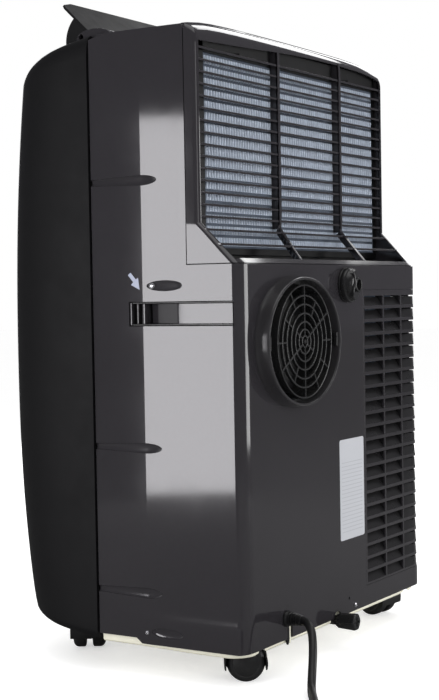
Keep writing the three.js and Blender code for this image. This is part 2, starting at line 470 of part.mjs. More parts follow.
// straight out, over and down in one easy bend, then along the floor to the coil
const cordPoints = [
  [140, 185, 24], [140, 191, 24], [140.72, 200.48, 24.2], [144.42, 212.38, 24.2], [151.34, 222.52, 22.2], [159.57, 230.28, 17.1], [167.79, 236.03, 9.7],
  [175.74, 240.5, 1.13], [183.59, 244.29, -7.85], [191.68, 247.9, -16.7], [200.41, 251.85, -24.75], [210.18, 256.73, -30.8],
  [220.76, 262.88, LIE], [246.1, 278.8, LIE], [271.5, 294.8, LIE], [296.9, 310.7, LIE], [326.1, 329.1, LIE],
].map((p) => new THREE.Vector3(...p));
{
  const o = new THREE.Shape();
  for (let i = 0; i < 8; i++) {
    const t = (Math.PI / 4) * i, p = [CORD_R * Math.cos(t), CORD_R * Math.sin(t)];
    if (i) o.lineTo(...p); else o.moveTo(...p);
  }
  piece("power_cord", manifoldOf(new THREE.ExtrudeGeometry(o, { steps: 20, extrudePath: new THREE.CatmullRomCurve3(cordPoints, false, "centripetal") })), M.rubber);
}
{
  // the rest of the lead, wound in a flat coil: three turns below, two above
  const prof = [[37.2, 0.2], [66.8, 0.2], [66.8, 10], [61.8, 18.4], [42.2, 18.4], [37.2, 10], [37.2, 0.2]].map(([a, b]) => new THREE.Vector2(a, b));
  const lg = new THREE.LatheGeometry(prof, 20);
  lg.rotateX(Math.PI / 2);
  lg.translate(COIL.x, COIL.y, FLOOR);
  piece("cord_coil", manifoldOf(lg), M.rubber);
}
{
  // leakage-current plug: block with two flat blades, a round earth pin and two keys, beside the coil
  const px = COIL.x + COIL.turn, py = COIL.y + 88, pz = FLOOR + 0.3;
  let plug = union(box(px - 21, px + 21, py - 24, py + 24, pz, pz + 27), cyl("y", px, py - 50.4, pz + 4.6, 4.9, 28, 10, 8));
  plug = union(plug, box(px - 8.6, px - 7, py + 23, py + 41, pz + 8, pz + 14.4), box(px + 7, px + 8.6, py + 23, py + 41, pz + 8, pz + 14.4), cyl("y", px, py + 23, pz + 20, 2.3, 20, 8));
  plug = plug.subtract(box(px - 30, px + 30, py - 60, py, pz - 20, pz));
  for (const s of [-1, 1]) plug = cut(plug, box(px + s * 9.5 - 5.4, px + s * 9.5 + 5.4, py - 6.4, py + 4.4, pz + 23, pz + 30));
  piece("plug", plug, M.rubber);
  piece("plug_test_button", box(px - 14.5, px - 4.5, py - 6, py + 4, pz + 24.4, pz + 28.6), M.key);
  piece("plug_reset_button", box(px + 4.5, px + 14.5, py - 6, py + 4, pz + 24.4, pz + 28.6), M.red);
}

const group = new THREE.Group();
group.name = "portable_air_conditioner";
group.add(model);
export default group;
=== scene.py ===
"""Looks for the portable air conditioner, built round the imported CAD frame.

Shapes are written in millimetres in the casing's own frame (bottom edge of the casing at
Z = 0, seam of the front shell near Y = 0) and go to the row frame, in metres, through W().
"""
import json
import math

import bmesh
import bpy
from mathutils import Matrix, Vector


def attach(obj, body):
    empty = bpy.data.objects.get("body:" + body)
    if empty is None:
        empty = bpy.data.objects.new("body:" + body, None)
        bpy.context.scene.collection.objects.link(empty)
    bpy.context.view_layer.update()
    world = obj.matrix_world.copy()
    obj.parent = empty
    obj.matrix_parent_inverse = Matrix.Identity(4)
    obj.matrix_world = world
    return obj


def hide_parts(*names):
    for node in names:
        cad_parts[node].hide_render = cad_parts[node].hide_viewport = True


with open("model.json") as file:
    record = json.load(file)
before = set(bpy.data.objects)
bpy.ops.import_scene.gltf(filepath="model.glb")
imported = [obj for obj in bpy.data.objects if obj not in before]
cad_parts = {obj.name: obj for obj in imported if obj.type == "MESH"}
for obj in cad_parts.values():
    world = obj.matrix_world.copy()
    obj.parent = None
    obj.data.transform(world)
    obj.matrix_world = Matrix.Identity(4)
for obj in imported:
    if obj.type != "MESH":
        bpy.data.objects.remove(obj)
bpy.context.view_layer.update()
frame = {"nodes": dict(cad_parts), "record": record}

DY, DZ = -11.75, 38.0
scene = bpy.context.scene
scene.view_settings.view_transform = "Standard"
scene.view_settings.look = "None"


def W(x, y, z):
    return ((x) / 1000, (y + DY) / 1000, (z + DZ) / 1000)


rad = math.radians


# ------------------------------------------------------------------ camera
def make_camera():
    yaw, pitch, roll = rad(211.7134), rad(-2.1547), rad(-0.989)
    d = Vector((math.cos(pitch) * math.cos(yaw), math.cos(pitch) * math.sin(yaw), math.sin(pitch)))
    r0 = Vector((math.sin(yaw), -math.cos(yaw), 0))
    u0 = r0.cross(d)
    r = r0 * math.cos(roll) + u0 * math.sin(roll)
    u = -r0 * math.sin(roll) + u0 * math.cos(roll)
    data = bpy.data.cameras.new("camera")
    data.sensor_width = 36.0
    data.lens = 1485.6446 * 36.0 / 700.0
    data.clip_start, data.clip_end = 0.05, 50.0
    cam = bpy.data.objects.new("camera", data)
    scene.collection.objects.link(cam)
    p = W(1603.146, 1008.642, 393.645)
    cam.matrix_world = Matrix((
        (r.x, u.x, -d.x, p[0]),
        (r.y, u.y, -d.y, p[1]),
        (r.z, u.z, -d.z, p[2]),
        (0, 0, 0, 1),
    ))
    scene.camera = cam


make_camera()


# ------------------------------------------------------------------ materials
def _lin(c):
    return (c[0], c[1], c[2], 1.0)


def material(name, base, rough, spread=0.12, grain=700.0, bump=0.03, bump_dist=0.0004, metallic=0.0, large=14.0,
             rough_spread=0.05, specular=0.5, coat=0.0, sheen=0.0, dust=None, dust_amount=0.0, anis=None):
    """Moulded or coated surface: fine grain, slow colour drift, uneven gloss and a little settled dust."""
    m = bpy.data.materials.new(name)
    m.use_nodes = True
    nt = m.node_tree
    n, l = nt.nodes, nt.links
    b = n["Principled BSDF"]
    tc = n.new("ShaderNodeTexCoord")
    co = tc.outputs["Object"]
    if anis:
        mp = n.new("ShaderNodeMapping")
        mp.inputs["Scale"].default_value = anis
        l.new(co, mp.inputs["Vector"])
        fine_co = mp.outputs["Vector"]
    else:
        fine_co = co

    def noise(scale, detail, rough_=0.55, vec=None):
        t = n.new("ShaderNodeTexNoise")
        t.inputs["Scale"].default_value = scale
        t.inputs["Detail"].default_value = detail
        t.inputs["Roughness"].default_value = rough_
        l.new(vec or co, t.inputs["Vector"])
        return t.outputs["Fac"]

    fine = noise(grain, 3.0, vec=fine_co)
    slow = noise(large, 4.0, 0.6)
    ramp = n.new("ShaderNodeValToRGB")
    ramp.color_ramp.elements[0].position = 0.3
    ramp.color_ramp.elements[1].position = 0.7
    ramp.color_ramp.elements[0].color = _lin([c * (1 - spread) for c in base])
    ramp.color_ramp.elements[1].color = _lin([min(1, c * (1 + spread)) for c in base])
    add = n.new("ShaderNodeMath")
    add.operation = "MULTIPLY_ADD"
    add.inputs[1].default_value = 0.45
    l.new(fine, add.inputs[0])
    sc = n.new("ShaderNodeMath")
    sc.operation = "MULTIPLY"
    sc.inputs[1].default_value = 0.55
    l.new(slow, sc.inputs[0])
    l.new(sc.outputs[0], add.inputs[2])
    l.new(add.outputs[0], ramp.inputs["Fac"])
    colour = ramp.outputs["Color"]
    if dust:
        geo = n.new("ShaderNodeNewGeometry")
        sep = n.new("ShaderNodeSeparateXYZ")
        l.new(geo.outputs["Normal"], sep.inputs[0])
        up = n.new("ShaderNodeMapRange")
        up.inputs["From Min"].default_value = 0.35
        up.inputs["From Max"].default_value = 1.0
        up.inputs["To Max"].default_value = dust_amount
        l.new(sep.outputs["Z"], up.inputs["Value"])
        spots = noise(90.0, 5.0, 0.7)
        mul = n.new("ShaderNodeMath")
        mul.operation = "MULTIPLY"
        l.new(up.outputs[0], mul.inputs[0])
        l.new(spots, mul.inputs[1])
        mix = n.new("ShaderNodeMix")
        mix.data_type = "RGBA"
        mix.inputs["B"].default_value = _lin(dust)
        l.new(mul.outputs[0], mix.inputs["Factor"])
        l.new(colour, mix.inputs["A"])
        colour = mix.outputs["Result"]
    l.new(colour, b.inputs["Base Color"])
    rr = n.new("ShaderNodeMapRange")
    rr.inputs["From Min"].default_value = 0.3
    rr.inputs["From Max"].default_value = 0.7
    rr.inputs["To Min"].default_value = max(0.0, rough - rough_spread)
    rr.inputs["To Max"].default_value = min(1.0, rough + rough_spread)
    l.new(noise(large * 2.3, 6.0, 0.65), rr.inputs["Value"])
    l.new(rr.outputs[0], b.inputs["Roughness"])
    bp = n.new("ShaderNodeBump")
    bp.inputs["Strength"].default_value = bump
    bp.inputs["Distance"].default_value = bump_dist
    l.new(fine, bp.inputs["Height"])
    l.new(bp.outputs["Normal"], b.inputs["Normal"])
    b.inputs["Metallic"].default_value = metallic
    b.inputs["Specular IOR Level"].default_value = specular
    b.inputs["Coat Weight"].default_value = coat
    b.inputs["Coat Roughness"].default_value = 0.08
    b.inputs["Sheen Weight"].default_value = sheen
    return m


def label_material():
    """Satin label stock with faint printed rules."""
    m = material("label_stock", (0.46, 0.47, 0.50), 0.42, spread=0.03, grain=1500, bump=0.02)
    nt = m.node_tree
    n, l = nt.nodes, nt.links
    b = n["Principled BSDF"]
    old = b.inputs["Base Color"].links[0].from_socket
    tc = n.new("ShaderNodeTexCoord")
    sep = n.new("ShaderNodeSeparateXYZ")
    l.new(tc.outputs["Object"], sep.inputs[0])

    def math_(op, a, v=None, c=None):
        k = n.new("ShaderNodeMath")
        k.operation = op
        l.new(a, k.inputs[0])
        if v is not None:
            if isinstance(v, float):
                k.inputs[1].default_value = v
            else:
                l.new(v, k.inputs[1])
        if c is not None:
            k.inputs[2].default_value = c
        return k.outputs[0]

    z = math_("ADD", sep.outputs["Z"], -0.129)  # from the label's lower edge
    row = math_("FRACT", math_("DIVIDE", z, 0.0047))
    rule = math_("LESS_THAN", row, 0.2)
    x = math_("ADD", sep.outputs["X"], 0.062)
    in_x = math_("MULTIPLY", math_("GREATER_THAN", x, 0.005), math_("LESS_THAN", x, 0.060))
    in_z = math_("MULTIPLY", math_("GREATER_THAN", z, 0.006), math_("LESS_THAN", z, 0.098))
    mask = math_("MULTIPLY", math_("MULTIPLY", rule, in_x), in_z)
    soft = math_("MULTIPLY", mask, 0.34)
    mix = n.new("ShaderNodeMix")
    mix.data_type = "RGBA"
    mix.inputs["B"].default_value = (0.16, 0.17, 0.2, 1)
    l.new(soft, mix.inputs["Factor"])
    l.new(old, mix.inputs["A"])
    l.new(mix.outputs["Result"], b.inputs["Base Color"])
    return m


DUST = (0.25, 0.24, 0.22)
MAT = {
    "matte_black": material("moulded_matte_black", (0.0040, 0.0040, 0.0046), 0.56, grain=1500, bump=0.35, bump_dist=0.00012, specular=0.2, dust=DUST, dust_amount=0.02),
    "gloss_grey": material("gloss_charcoal", (0.0225, 0.0210, 0.0240), 0.068, spread=0.07, grain=260, bump=0.02, bump_dist=0.0002, rough_spread=0.014, specular=0.55, dust=DUST, dust_amount=0.04),
    "grille_grey": material("grille_charcoal", (0.024, 0.023, 0.025), 0.24, spread=0.1, grain=500, bump=0.05, specular=0.5, dust=DUST, dust_amount=0.1),
    "filter_black": material("filter_black", (0.006, 0.006, 0.0065), 0.55, grain=1200, bump=0.1, dust=DUST, dust_amount=0.1),
    "blade_black": material("blade_black", (0.0095, 0.0092, 0.010), 0.3, grain=500, bump=0.05, specular=0.4, dust=DUST, dust_amount=0.05),
    "collar_grey": material("collar_charcoal", (0.0235, 0.0225, 0.0245), 0.2, spread=0.08, grain=300, bump=0.03, dust=DUST, dust_amount=0.04),
    "duct_black": material("satin_black", (0.0105, 0.0105, 0.011), 0.27, grain=900, bump=0.08, specular=0.5, dust=DUST, dust_amount=0.06),
    "cream": material("ivory_plastic", (0.84, 0.82, 0.68), 0.5, spread=0.05, grain=800, bump=0.1, dust=(0.3, 0.28, 0.2), dust_amount=0.1),
    "label_white": label_material(),
    "screw_steel": material("plated_steel", (0.66, 0.66, 0.68), 0.18, spread=0.06, grain=1500, bump=0.1, metallic=1.0),
    "motor_steel": material("motor_steel", (0.36, 0.36, 0.37), 0.36, spread=0.1, grain=900, bump=0.15, metallic=1.0, anis=(1, 1, 14)),
    "vane_black": material("vane_black", (0.011, 0.011, 0.012), 0.45, grain=900, bump=0.1, dust=DUST, dust_amount=0.1),
    "inner_grey": material("inner_grey", (0.21, 0.22, 0.23), 0.55, grain=600, bump=0.15, dust=DUST, dust_amount=0.2),
    "display": material("display_window", (0.004, 0.004, 0.005), 0.05, spread=0.05, grain=300, bump=0.005, rough_spread=0.02, coat=0.6),
    "board_green": material("coated_board", (0.012, 0.085, 0.035), 0.35, spread=0.3, grain=240, bump=0.2),
    "fin_aluminium": material("fin_aluminium", (0.60, 0.68, 0.82), 0.42, spread=0.22, grain=420, bump=0.25, metallic=0.0, large=60, anis=(1, 1, 0.3)),
    "screen": material("filter_screen", (0.085, 0.105, 0.14), 0.5, spread=0.35, grain=900, bump=0.5, bump_dist=0.0004, large=40),
    "screen_rib": material("filter_rib", (0.62, 0.69, 0.82), 0.4, spread=0.25, grain=500, bump=0.3, large=70, anis=(1, 1, 0.4)),
    # fin_shadow: the fin colour darkened, painted shade for fins seen deep in the dark
    "fin_back": material("fin_shadow", (0.17, 0.21, 0.28), 0.5, spread=0.3, grain=420, bump=0.2, large=60),
    "compressor_black": material("enamel_black", (0.012, 0.012, 0.013), 0.25, grain=300, bump=0.15, specular=0.6),
    "pipe_copper": material("bare_copper", (0.62, 0.27, 0.13), 0.28, spread=0.15, grain=300, bump=0.08, metallic=1.0, large=30),
    "cord_rubber": material("cord_jacket", (0.0085, 0.0085, 0.009), 0.36, grain=1300, bump=0.12, specular=0.45, dust=DUST, dust_amount=0.05),
    "key_grey": material("key_grey", (0.09, 0.09, 0.1), 0.4, grain=1200, bump=0.1),
    "key_red": material("key_red", (0.3, 0.025, 0.02), 0.4, grain=1200, bump=0.1),
    "caster_black": material("caster_black", (0.009, 0.009, 0.0095), 0.4, grain=1100, bump=0.12, dust=DUST, dust_amount=0.15),
    "caster_wheel": material("caster_wheel", (0.0125, 0.0125, 0.013), 0.45, grain=1100, bump=0.15, dust=DUST, dust_amount=0.2),
    "print_white": material("arrow_print", (0.36, 0.39, 0.5), 0.4, spread=0.05, grain=1600, bump=0.05),
    "brass": material("plug_brass", (0.72, 0.52, 0.22), 0.25, spread=0.08, grain=900, bump=0.1, metallic=1.0),
}
NODE_SLOT = {r["node"]: r["material_slot"] for r in frame["record"]["subparts"]}
for node, slot_name in NODE_SLOT.items():
    o = frame["nodes"][node]
    o.data.materials.clear()
    o.data.materials.append(MAT[slot_name])


# ------------------------------------------------------------------ mesh helpers (millimetres)
def raw(name, verts, faces):
    me = bpy.data.meshes.new(name)
    me.from_pydata([W(*v) for v in verts], [], faces)
    me.validate()
    o = bpy.data.objects.new(name, me)
    scene.collection.objects.link(o)
    bm = bmesh.new()
    bm.from_mesh(me)
    bmesh.ops.remove_doubles(bm, verts=bm.verts, dist=1e-6)
    bmesh.ops.recalc_face_normals(bm, faces=bm.faces)
    bm.to_mesh(me)
    bm.free()
    return o


class Mesh:
    """Several closed solids gathered into one piece."""

    def __init__(self):
        self.v, self.f = [], []

    def add(self, verts, faces):
        k = len(self.v)
        self.v += [tuple(p) for p in verts]
        self.f += [tuple(i + k for i in f) for f in faces]
        return self

    def box(self, x0, x1, y0, y1, z0, z1):
        v = [(x, y, z) for x in (x0, x1) for y in (y0, y1) for z in (z0, z1)]
        return self.add(v, [(0, 1, 3, 2), (4, 6, 7, 5), (0, 4, 5, 1), (2, 3, 7, 6), (0, 2, 6, 4), (1, 5, 7, 3)])

    def hull8(self, lower, upper):
        """Six-sided solid from two rings of four points."""
        return self.loft([lower, upper])

    def loft(self, rings, closed=False, caps=True):
        n = len(rings[0])
        v = [p for r in rings for p in r]
        f = []
        m = len(rings)
        for k in range(m if closed else m - 1):
            for i in range(n):
                a, b = k * n + i, k * n + (i + 1) % n
                c, d = ((k + 1) % m) * n + (i + 1) % n, ((k + 1) % m) * n + i
                f.append((a, b, c, d))
        if caps and not closed:
            f.append(tuple(reversed(range(n))))
            f.append(tuple(range((m - 1) * n, m * n)))
        return self.add(v, f)

    def prism(self, outline, place, w0, w1):
        return self.loft([[place(u, v, w0) for u, v in outline], [place(u, v, w1) for u, v in outline]])

    def lathe(self, axis, centre, profile, seg=48, sx=1.0, sz=1.0, closed=True):
        """Profile of (radius, height) pairs turned about axis through centre; sx and sz stretch the circle."""
        rings = []
        for r, h in profile:
            ring = []
            for i in range(seg):
                t = 2 * math.pi * i / seg
                a, b = r * math.cos(t) * sx, r * math.sin(t) * sz
                if axis == "y":
                    ring.append((centre[0] + a, centre[1] + h, centre[2] + b))
                elif axis == "z":
                    ring.append((centre[0] + a, centre[1] + b, centre[2] + h))
                else:
                    ring.append((centre[0] + h, centre[1] + a, centre[2] + b))
            rings.append(ring)
        return self.loft(rings, closed=closed)

    def ring(self, axis, centre, ro, ri, h0, h1, seg=48, sx=1.0, sz=1.0, fillet=0.0):
        f = fillet
        if f:
            prof = [(ri, h0), (ro, h0), (ro, h1 - f), (ro - f * 0.29, h1 - f * 0.29), (ro - f, h1), (ri + f, h1), (ri + f * 0.29, h1 - f * 0.29), (ri, h1 - f)]
        else:
            prof = [(ri, h0), (ro, h0), (ro, h1), (ri, h1)]
        return self.lathe(axis, centre, prof, seg, sx, sz, closed=True)

    def disc(self, axis, centre, profile, seg=48, sx=1.0, sz=1.0):
        return self.lathe(axis, centre, profile, seg, sx, sz, closed=False)

    def object(self, name):
        return raw(name, self.v, self.f)


alongX = lambda u, v, w: (w, u, v)
alongY = lambda u, v, w: (u, w, v)
alongZ = lambda u, v, w: (u, v, w)


def bake(o):
    """Applies the modifiers."""
    bpy.context.view_layer.update()
    dg = bpy.context.evaluated_depsgraph_get()
    me = bpy.data.meshes.new_from_object(o.evaluated_get(dg))
    o.modifiers.clear()
    o.data = me
    return o


def boolean(o, tool, op="DIFFERENCE", self_=False):
    m = o.modifiers.new("cut", "BOOLEAN")
    m.operation = op
    m.solver = "EXACT"
    m.use_self = self_
    m.object = tool
    bake(o)
    bpy.data.objects.remove(tool)
    return o


def soften(o, width=0.5, seg=2, angle=32, weighted=True):
    if width:
        b = o.modifiers.new("edges", "BEVEL")
        b.width = width / 1000
        b.segments = seg
        b.limit_method = "ANGLE"
        b.angle_limit = rad(angle)
        b.use_clamp_overlap = True
        b.harden_normals = False
        bake(o)
    for p in o.data.polygons:
        p.use_smooth = True
    o.data.set_sharp_from_angle(angle=rad(44))
    if weighted:
        w = o.modifiers.new("normals", "WEIGHTED_NORMAL")
        w.keep_sharp = True
        w.weight = 80
    return o


def dress(o, mat, body="cabinet", replaces=()):
    o.data.materials.clear()
    o.data.materials.append(MAT[mat])
    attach(o, body)
    if replaces:
        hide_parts(*([replaces] if isinstance(replaces, str) else replaces))
    return o


lerp = lambda a, b, t: a + (b - a) * t


def smooth(a, b, x):
    t = max(0.0, min(1.0, (x - a) / (b - a)))
    return t * t * (3 - 2 * t)


# ------------------------------------------------------------------ cord (with the camera, first)
CORD_R = 4.75
FLOOR = -38.0
LIE = FLOOR + CORD_R + 0.15
COIL = (325.0, 401.3, 61.7)


def cord_points():
    pts = [
        (140, 188.6, 24), (140, 194.0, 24.05), (140.72, 200.48, 24.2), (144.42, 212.38, 24.2), (151.34, 222.52, 22.2), (159.57, 230.28, 17.1),
        (167.79, 236.03, 9.7), (175.74, 240.5, 1.13), (183.59, 244.29, -7.85), (191.68, 247.9, -16.7),
        (200.41, 251.85, -24.75), (210.18, 256.73, -30.8), (220.76, 262.88, LIE), (246.1, 278.8, LIE), (271.5, 294.8, LIE),
    ]
    free = len(pts)
    cx, cy, r0 = COIL
    d = (0.8462, 0.5329)
    # over the outer turn in one long low hump, and into the upper layer of the coil
    p0 = (cx + r0 * math.cos(rad(57.8)), cy - r0 * math.sin(rad(57.8)))
    top = LIE + 2 * CORD_R + 0.3
    for s in (-66, -56, -46, -36, -26, -18, -10, -4):
        pts.append((p0[0] + d[0] * s, p0[1] + d[1] * s, lerp(LIE, top, smooth(-66, 2, s))))
    t0, turns_all = -57.8, 4 + 57.8 / 360
    turns_top = turns_all / 2
    n = 84
    for i in range(n + 1):
        a = i / n * turns_all
        th = rad(t0 + 360 * a)
        if a < turns_top:
            r = r0 - 9.75 * a
            z = top
        else:
            r = r0 - 9.75 * (turns_all - a)
            z = LIE
        # down inside the coil between the layers
        z = lerp(top, LIE, smooth(turns_top - 0.22, turns_top + 0.2, a)) if abs(a - turns_top) < 0.25 else z
        pts.append((cx + r * math.cos(th), cy + r * math.sin(th), z))
    for dy in (12, 24, 36, 44):
        pts.append((cx + r0, cy + dy, LIE if dy < 30 else LIE + 0.0))
    return pts, free


def make_cord():
    pts, _ = cord_points()
    cu = bpy.data.curves.new("power_lead", "CURVE")
    cu.dimensions = "3D"
    cu.bevel_depth = CORD_R / 1000
    cu.bevel_resolution = 5
    cu.resolution_u = 6
    cu.use_fill_caps = True
    sp = cu.splines.new("BEZIER")
    sp.bezier_points.add(len(pts) - 1)
    for b, p in zip(sp.bezier_points, pts):
        b.co = W(*p)
        b.handle_left_type = b.handle_right_type = "AUTO"
    o = bpy.data.objects.new("power_lead", cu)
    scene.collection.objects.link(o)
    length = sum((Vector(W(*a)) - Vector(W(*b))).length for a, b in zip(pts, pts[1:]))
    return o, length


lead, LEAD_LENGTH = make_cord()
dress(lead, "cord_rubber", replaces=("power_cord", "cord_coil"))

# tapered strain relief on the exit
m = Mesh()
prof = [(5.0, 0.0), (9.2, 0.0), (9.4, 1.2), (9.2, 3.0), (8.4, 3.6)]
for i in range(5):
    y = 4.6 + 3.6 * i
    r = lerp(7.9, 5.9, i / 4)
    prof += [(r, y), (r, y + 2.2), (r - 0.9, y + 2.5), (r - 0.9, y + 3.2)]
prof += [(5.5, 23.4), (4.9, 24.0), (4.9, 12)]
prof = prof[:-1]
rings = []
line = [Vector(p) for p in ((140, 187.9, 24), (140, 194, 24.05), (140.72, 200.48, 24.2), (144.42, 212.38, 24.2))]


def on_line(h):
    """Point and direction h mm along the first stretch of the cord."""
    for a, b in zip(line, line[1:]):
        d = (b - a).length
        if h <= d or b is line[-1]:
            return a.lerp(b, h / d), (b - a).normalized()
        h -= d


def turned(h):
    p, d = on_line(h)
    d2 = on_line(min(h + 4, 25.5))[1]
    d1 = on_line(max(h - 4, 0))[1]
    return p, (d1 + d2).normalized()


for r, h in prof + [(4.4, 24.0), (4.4, 0.4)]:
    p, d = turned(h)
    side = d.cross(Vector((0, 0, 1))).normalized()
    up = side.cross(d)
    rings.append([tuple(p + side * r * math.cos(2 * math.pi * i / 28) + up * r * math.sin(2 * math.pi * i / 28)) for i in range(28)])
relief = Mesh().loft(rings, closed=True).object("strain_relief")
soften(relief, 0.0)
dress(relief, "cord_rubber", replaces="cord_gland")

def make_plug():
    px, py, pz = 325 + 61.7, 401.3 + 88, FLOOR + 0.3

    def rr(x0, x1, y0, y1, r, k=5):
        out = []
        for cx, cy, s0 in ((x1 - r, y1 - r, 0), (x0 + r, y1 - r, 90), (x0 + r, y0 + r, 180), (x1 - r, y0 + r, 270)):
            for i in range(k + 1):
                t = rad(s0 + 90 * i / k)
                out.append((cx + r * math.cos(t), cy + r * math.sin(t)))
        return out

    rings = []
    for ins, z in ((1.6, 0), (0.5, 1.2), (0, 3), (0, 22), (0.6, 25), (2.0, 26.6), (3.4, 27)):
        rings.append([(a, b, pz + z) for a, b in rr(px - 21 + ins, px + 21 - ins, py - 24 + ins, py + 24 - ins, 6)])
    o = Mesh().loft(rings).object("plug_body")
    tool = Mesh()
    for s in (-1, 1):
        tool.box(px + s * 9.5 - 5.4, px + s * 9.5 + 5.4, py - 6.4, py + 4.4, pz + 23, pz + 30)
    boolean(o, tool.object("tool"))
    soften(o, 0.5, 2, 34)
    body = dress(o, "cord_rubber", replaces="plug")
    # relief on the plug
    prof = [(4.85, -50.2), (6.0, -50.0), (6.2, -47.6), (5.3, -47.2), (5.3, -46.2), (6.6, -45.6), (6.8, -42.6), (5.7, -42.2), (5.7, -41.2), (7.2, -40.6), (7.4, -37.6), (6.2, -37.2), (6.2, -36.0), (8.0, -35.2), (8.4, -30), (9.4, -24), (4.85, -24)]
    rings = []
    zc = pz + 4.65
    for r, h in prof:
        ring = []
        for i in range(28):
            t = 2 * math.pi * i / 28
            ring.append((px + r * math.cos(t), py + h, max(pz, zc + r * math.sin(t))))
        rings.append(ring)
    o = soften(Mesh().loft(rings, closed=True).object("plug_relief"), 0)
    neck = dress(o, "cord_rubber")
    t = Mesh()
    for a, b in ((px - 8.6, px - 7.0), (px + 7.0, px + 8.6)):
        t.box(a, b, py + 22, py + 41, pz + 8, pz + 14.4)
    t.disc("y", (px, 0, pz + 20), [(0.01, py + 22), (2.35, py + 22), (2.35, py + 40.4), (1.4, py + 42.6), (0.01, py + 43.2)], 24)
    o = soften(t.object("plug_blades"), 0.25, 2)
    return body, neck, dress(o, "brass")


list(make_plug())

# ------------------------------------------------------------------ stage and light
def make_stage():
    me = bpy.data.meshes.new("floor")
    s = 14.0
    me.from_pydata([(-s, -s, 0), (s, -s, 0), (s, s, 0), (-s, s, 0)], [], [(0, 1, 2, 3)])
    floor = bpy.data.objects.new("floor", me)
    scene.collection.objects.link(floor)
    mt = material("pale_floor", (0.82, 0.82, 0.82), 0.8, spread=0.01, grain=40, bump=0.01, large=1.5, specular=0.1)
    nt = mt.node_tree
    lp = nt.nodes.new("ShaderNodeLightPath")
    glow = nt.nodes.new("ShaderNodeEmission")
    glow.inputs["Strength"].default_value = 0.5
    add = nt.nodes.new("ShaderNodeAddShader")
    dull = nt.nodes.new("ShaderNodeBsdfDiffuse")
    dull.inputs["Color"].default_value = (0.2, 0.2, 0.2, 1)
    mix = nt.nodes.new("ShaderNodeMixShader")
    shine = nt.nodes["Principled BSDF"].outputs[0]
    ground = nt.nodes.new("ShaderNodeMixShader")
    nt.links.new(lp.outputs["Is Glossy Ray"], ground.inputs[0])
    nt.links.new(shine, ground.inputs[1])
    nt.links.new(dull.outputs[0], ground.inputs[2])
    nt.links.new(ground.outputs[0], add.inputs[0])
    nt.links.new(glow.outputs[0], add.inputs[1])
    nt.links.new(lp.outputs["Is Camera Ray"], mix.inputs[0])
    nt.links.new(ground.outputs[0], mix.inputs[1])
    nt.links.new(add.outputs[0], mix.inputs[2])
    nt.links.new(mix.outputs[0], nt.nodes["Material Output"].inputs[0])
    me.materials.append(mt)

    world = bpy.data.worlds.new("studio")
    scene.world = world
    world.use_nodes = True
    nt = world.node_tree
    bg = nt.nodes["Background"]
    bg.inputs["Color"].default_value = (1.0, 1.0, 1.0, 1)
    bg.inputs["Strength"].default_value = 0.62
    bright = nt.nodes.new("ShaderNodeBackground")
    bright.inputs["Color"].default_value = (1, 1, 1, 1)
    bright.inputs["Strength"].default_value = 1.0
    dark = nt.nodes.new("ShaderNodeBackground")
    dark.inputs["Color"].default_value = (0.94, 0.93, 1, 1)
    dark.inputs["Strength"].default_value = 0.17
    lp = nt.nodes.new("ShaderNodeLightPath")
    mix1 = nt.nodes.new("ShaderNodeMixShader")
    mix2 = nt.nodes.new("ShaderNodeMixShader")
    nt.links.new(lp.outputs["Is Glossy Ray"], mix1.inputs[0])
    nt.links.new(bg.outputs[0], mix1.inputs[1])
    nt.links.new(dark.outputs[0], mix1.inputs[2])
    nt.links.new(lp.outputs["Is Camera Ray"], mix2.inputs[0])
    nt.links.new(mix1.outputs[0], mix2.inputs[1])
    nt.links.new(bright.outputs[0], mix2.inputs[2])
    nt.links.new(mix2.outputs[0], nt.nodes["World Output"].inputs[0])


make_stage()


def area(name, at, look, sx, sy, radiance, colour=(1, 1, 1), spread=180, glossy=True):
    """Soft box at a point in the casing's frame, millimetres, of sx by sy, of that radiance."""
    d = bpy.data.lights.new(name, "AREA")
    d.shape = "RECTANGLE"
    d.size, d.size_y = sx / 1000, sy / 1000
    d.energy = radiance * math.pi * d.size * d.size_y
    d.color = colour
    d.spread = rad(spread)
    o = bpy.data.objects.new(name, d)
    scene.collection.objects.link(o)
    o.visible_glossy = glossy
    p, q = Vector(W(*at)), Vector(W(*look))
    o.location = p
    o.rotation_mode = "QUATERNION"
    o.rotation_quaternion = (q - p).to_track_quat("-Z", "Y")
    return o


def lights():
    # tall box ahead on the right: the bright panel seen in the casing's side
    area("box_side", (1556, -624, 370), (256, 160, 370), 333, 800, 9.2, (0.985, 0.97, 1.0))
    # high box on the far side: slanted shelf and its lip
    area("box_far", (-1750, -60, 1905), (0, 60, 560), 760, 620, 4.6)
    # pale backdrop far behind: rolled top edge
    area("backdrop", (-2150, -1180, 900), (0, 0, 640), 2600, 1700, 2.4)
    # overhead
    area("box_top", (150, 200, 2050), (0, 60, 300), 1700, 1500, 1.2)
    # strip behind: line down the rear corner
    area("strip_rear", (-811, 1411, 420), (217, 185, 400), 480, 720, 5.2)
    # dim panel ahead, seen in the handle's scoop
    area("panel_front", (1316, -1371, 420), (220, 80, 380), 520, 900, 0.85)
    # panel behind, above the back's upper edge: the intake's near lip
    area("strip_upper", (815, 1516, 740), (229, 135, 560), 460, 480, 1.7)
    # soft fill into the grille and on the back
    area("fill", (900, 1900, 700), (0, 120, 520), 1500, 900, 3.4, glossy=False)


lights()


# ------------------------------------------------------------------ front shell
SHELL_HALF, SHELL_DEPTH, POWER = 235.5, 182.0, 3.17


def bow(z):
    return 16 * ((z - 330) / 290) ** 2.2 if z > 330 else 16 * ((330 - z) / 265) ** 2.5


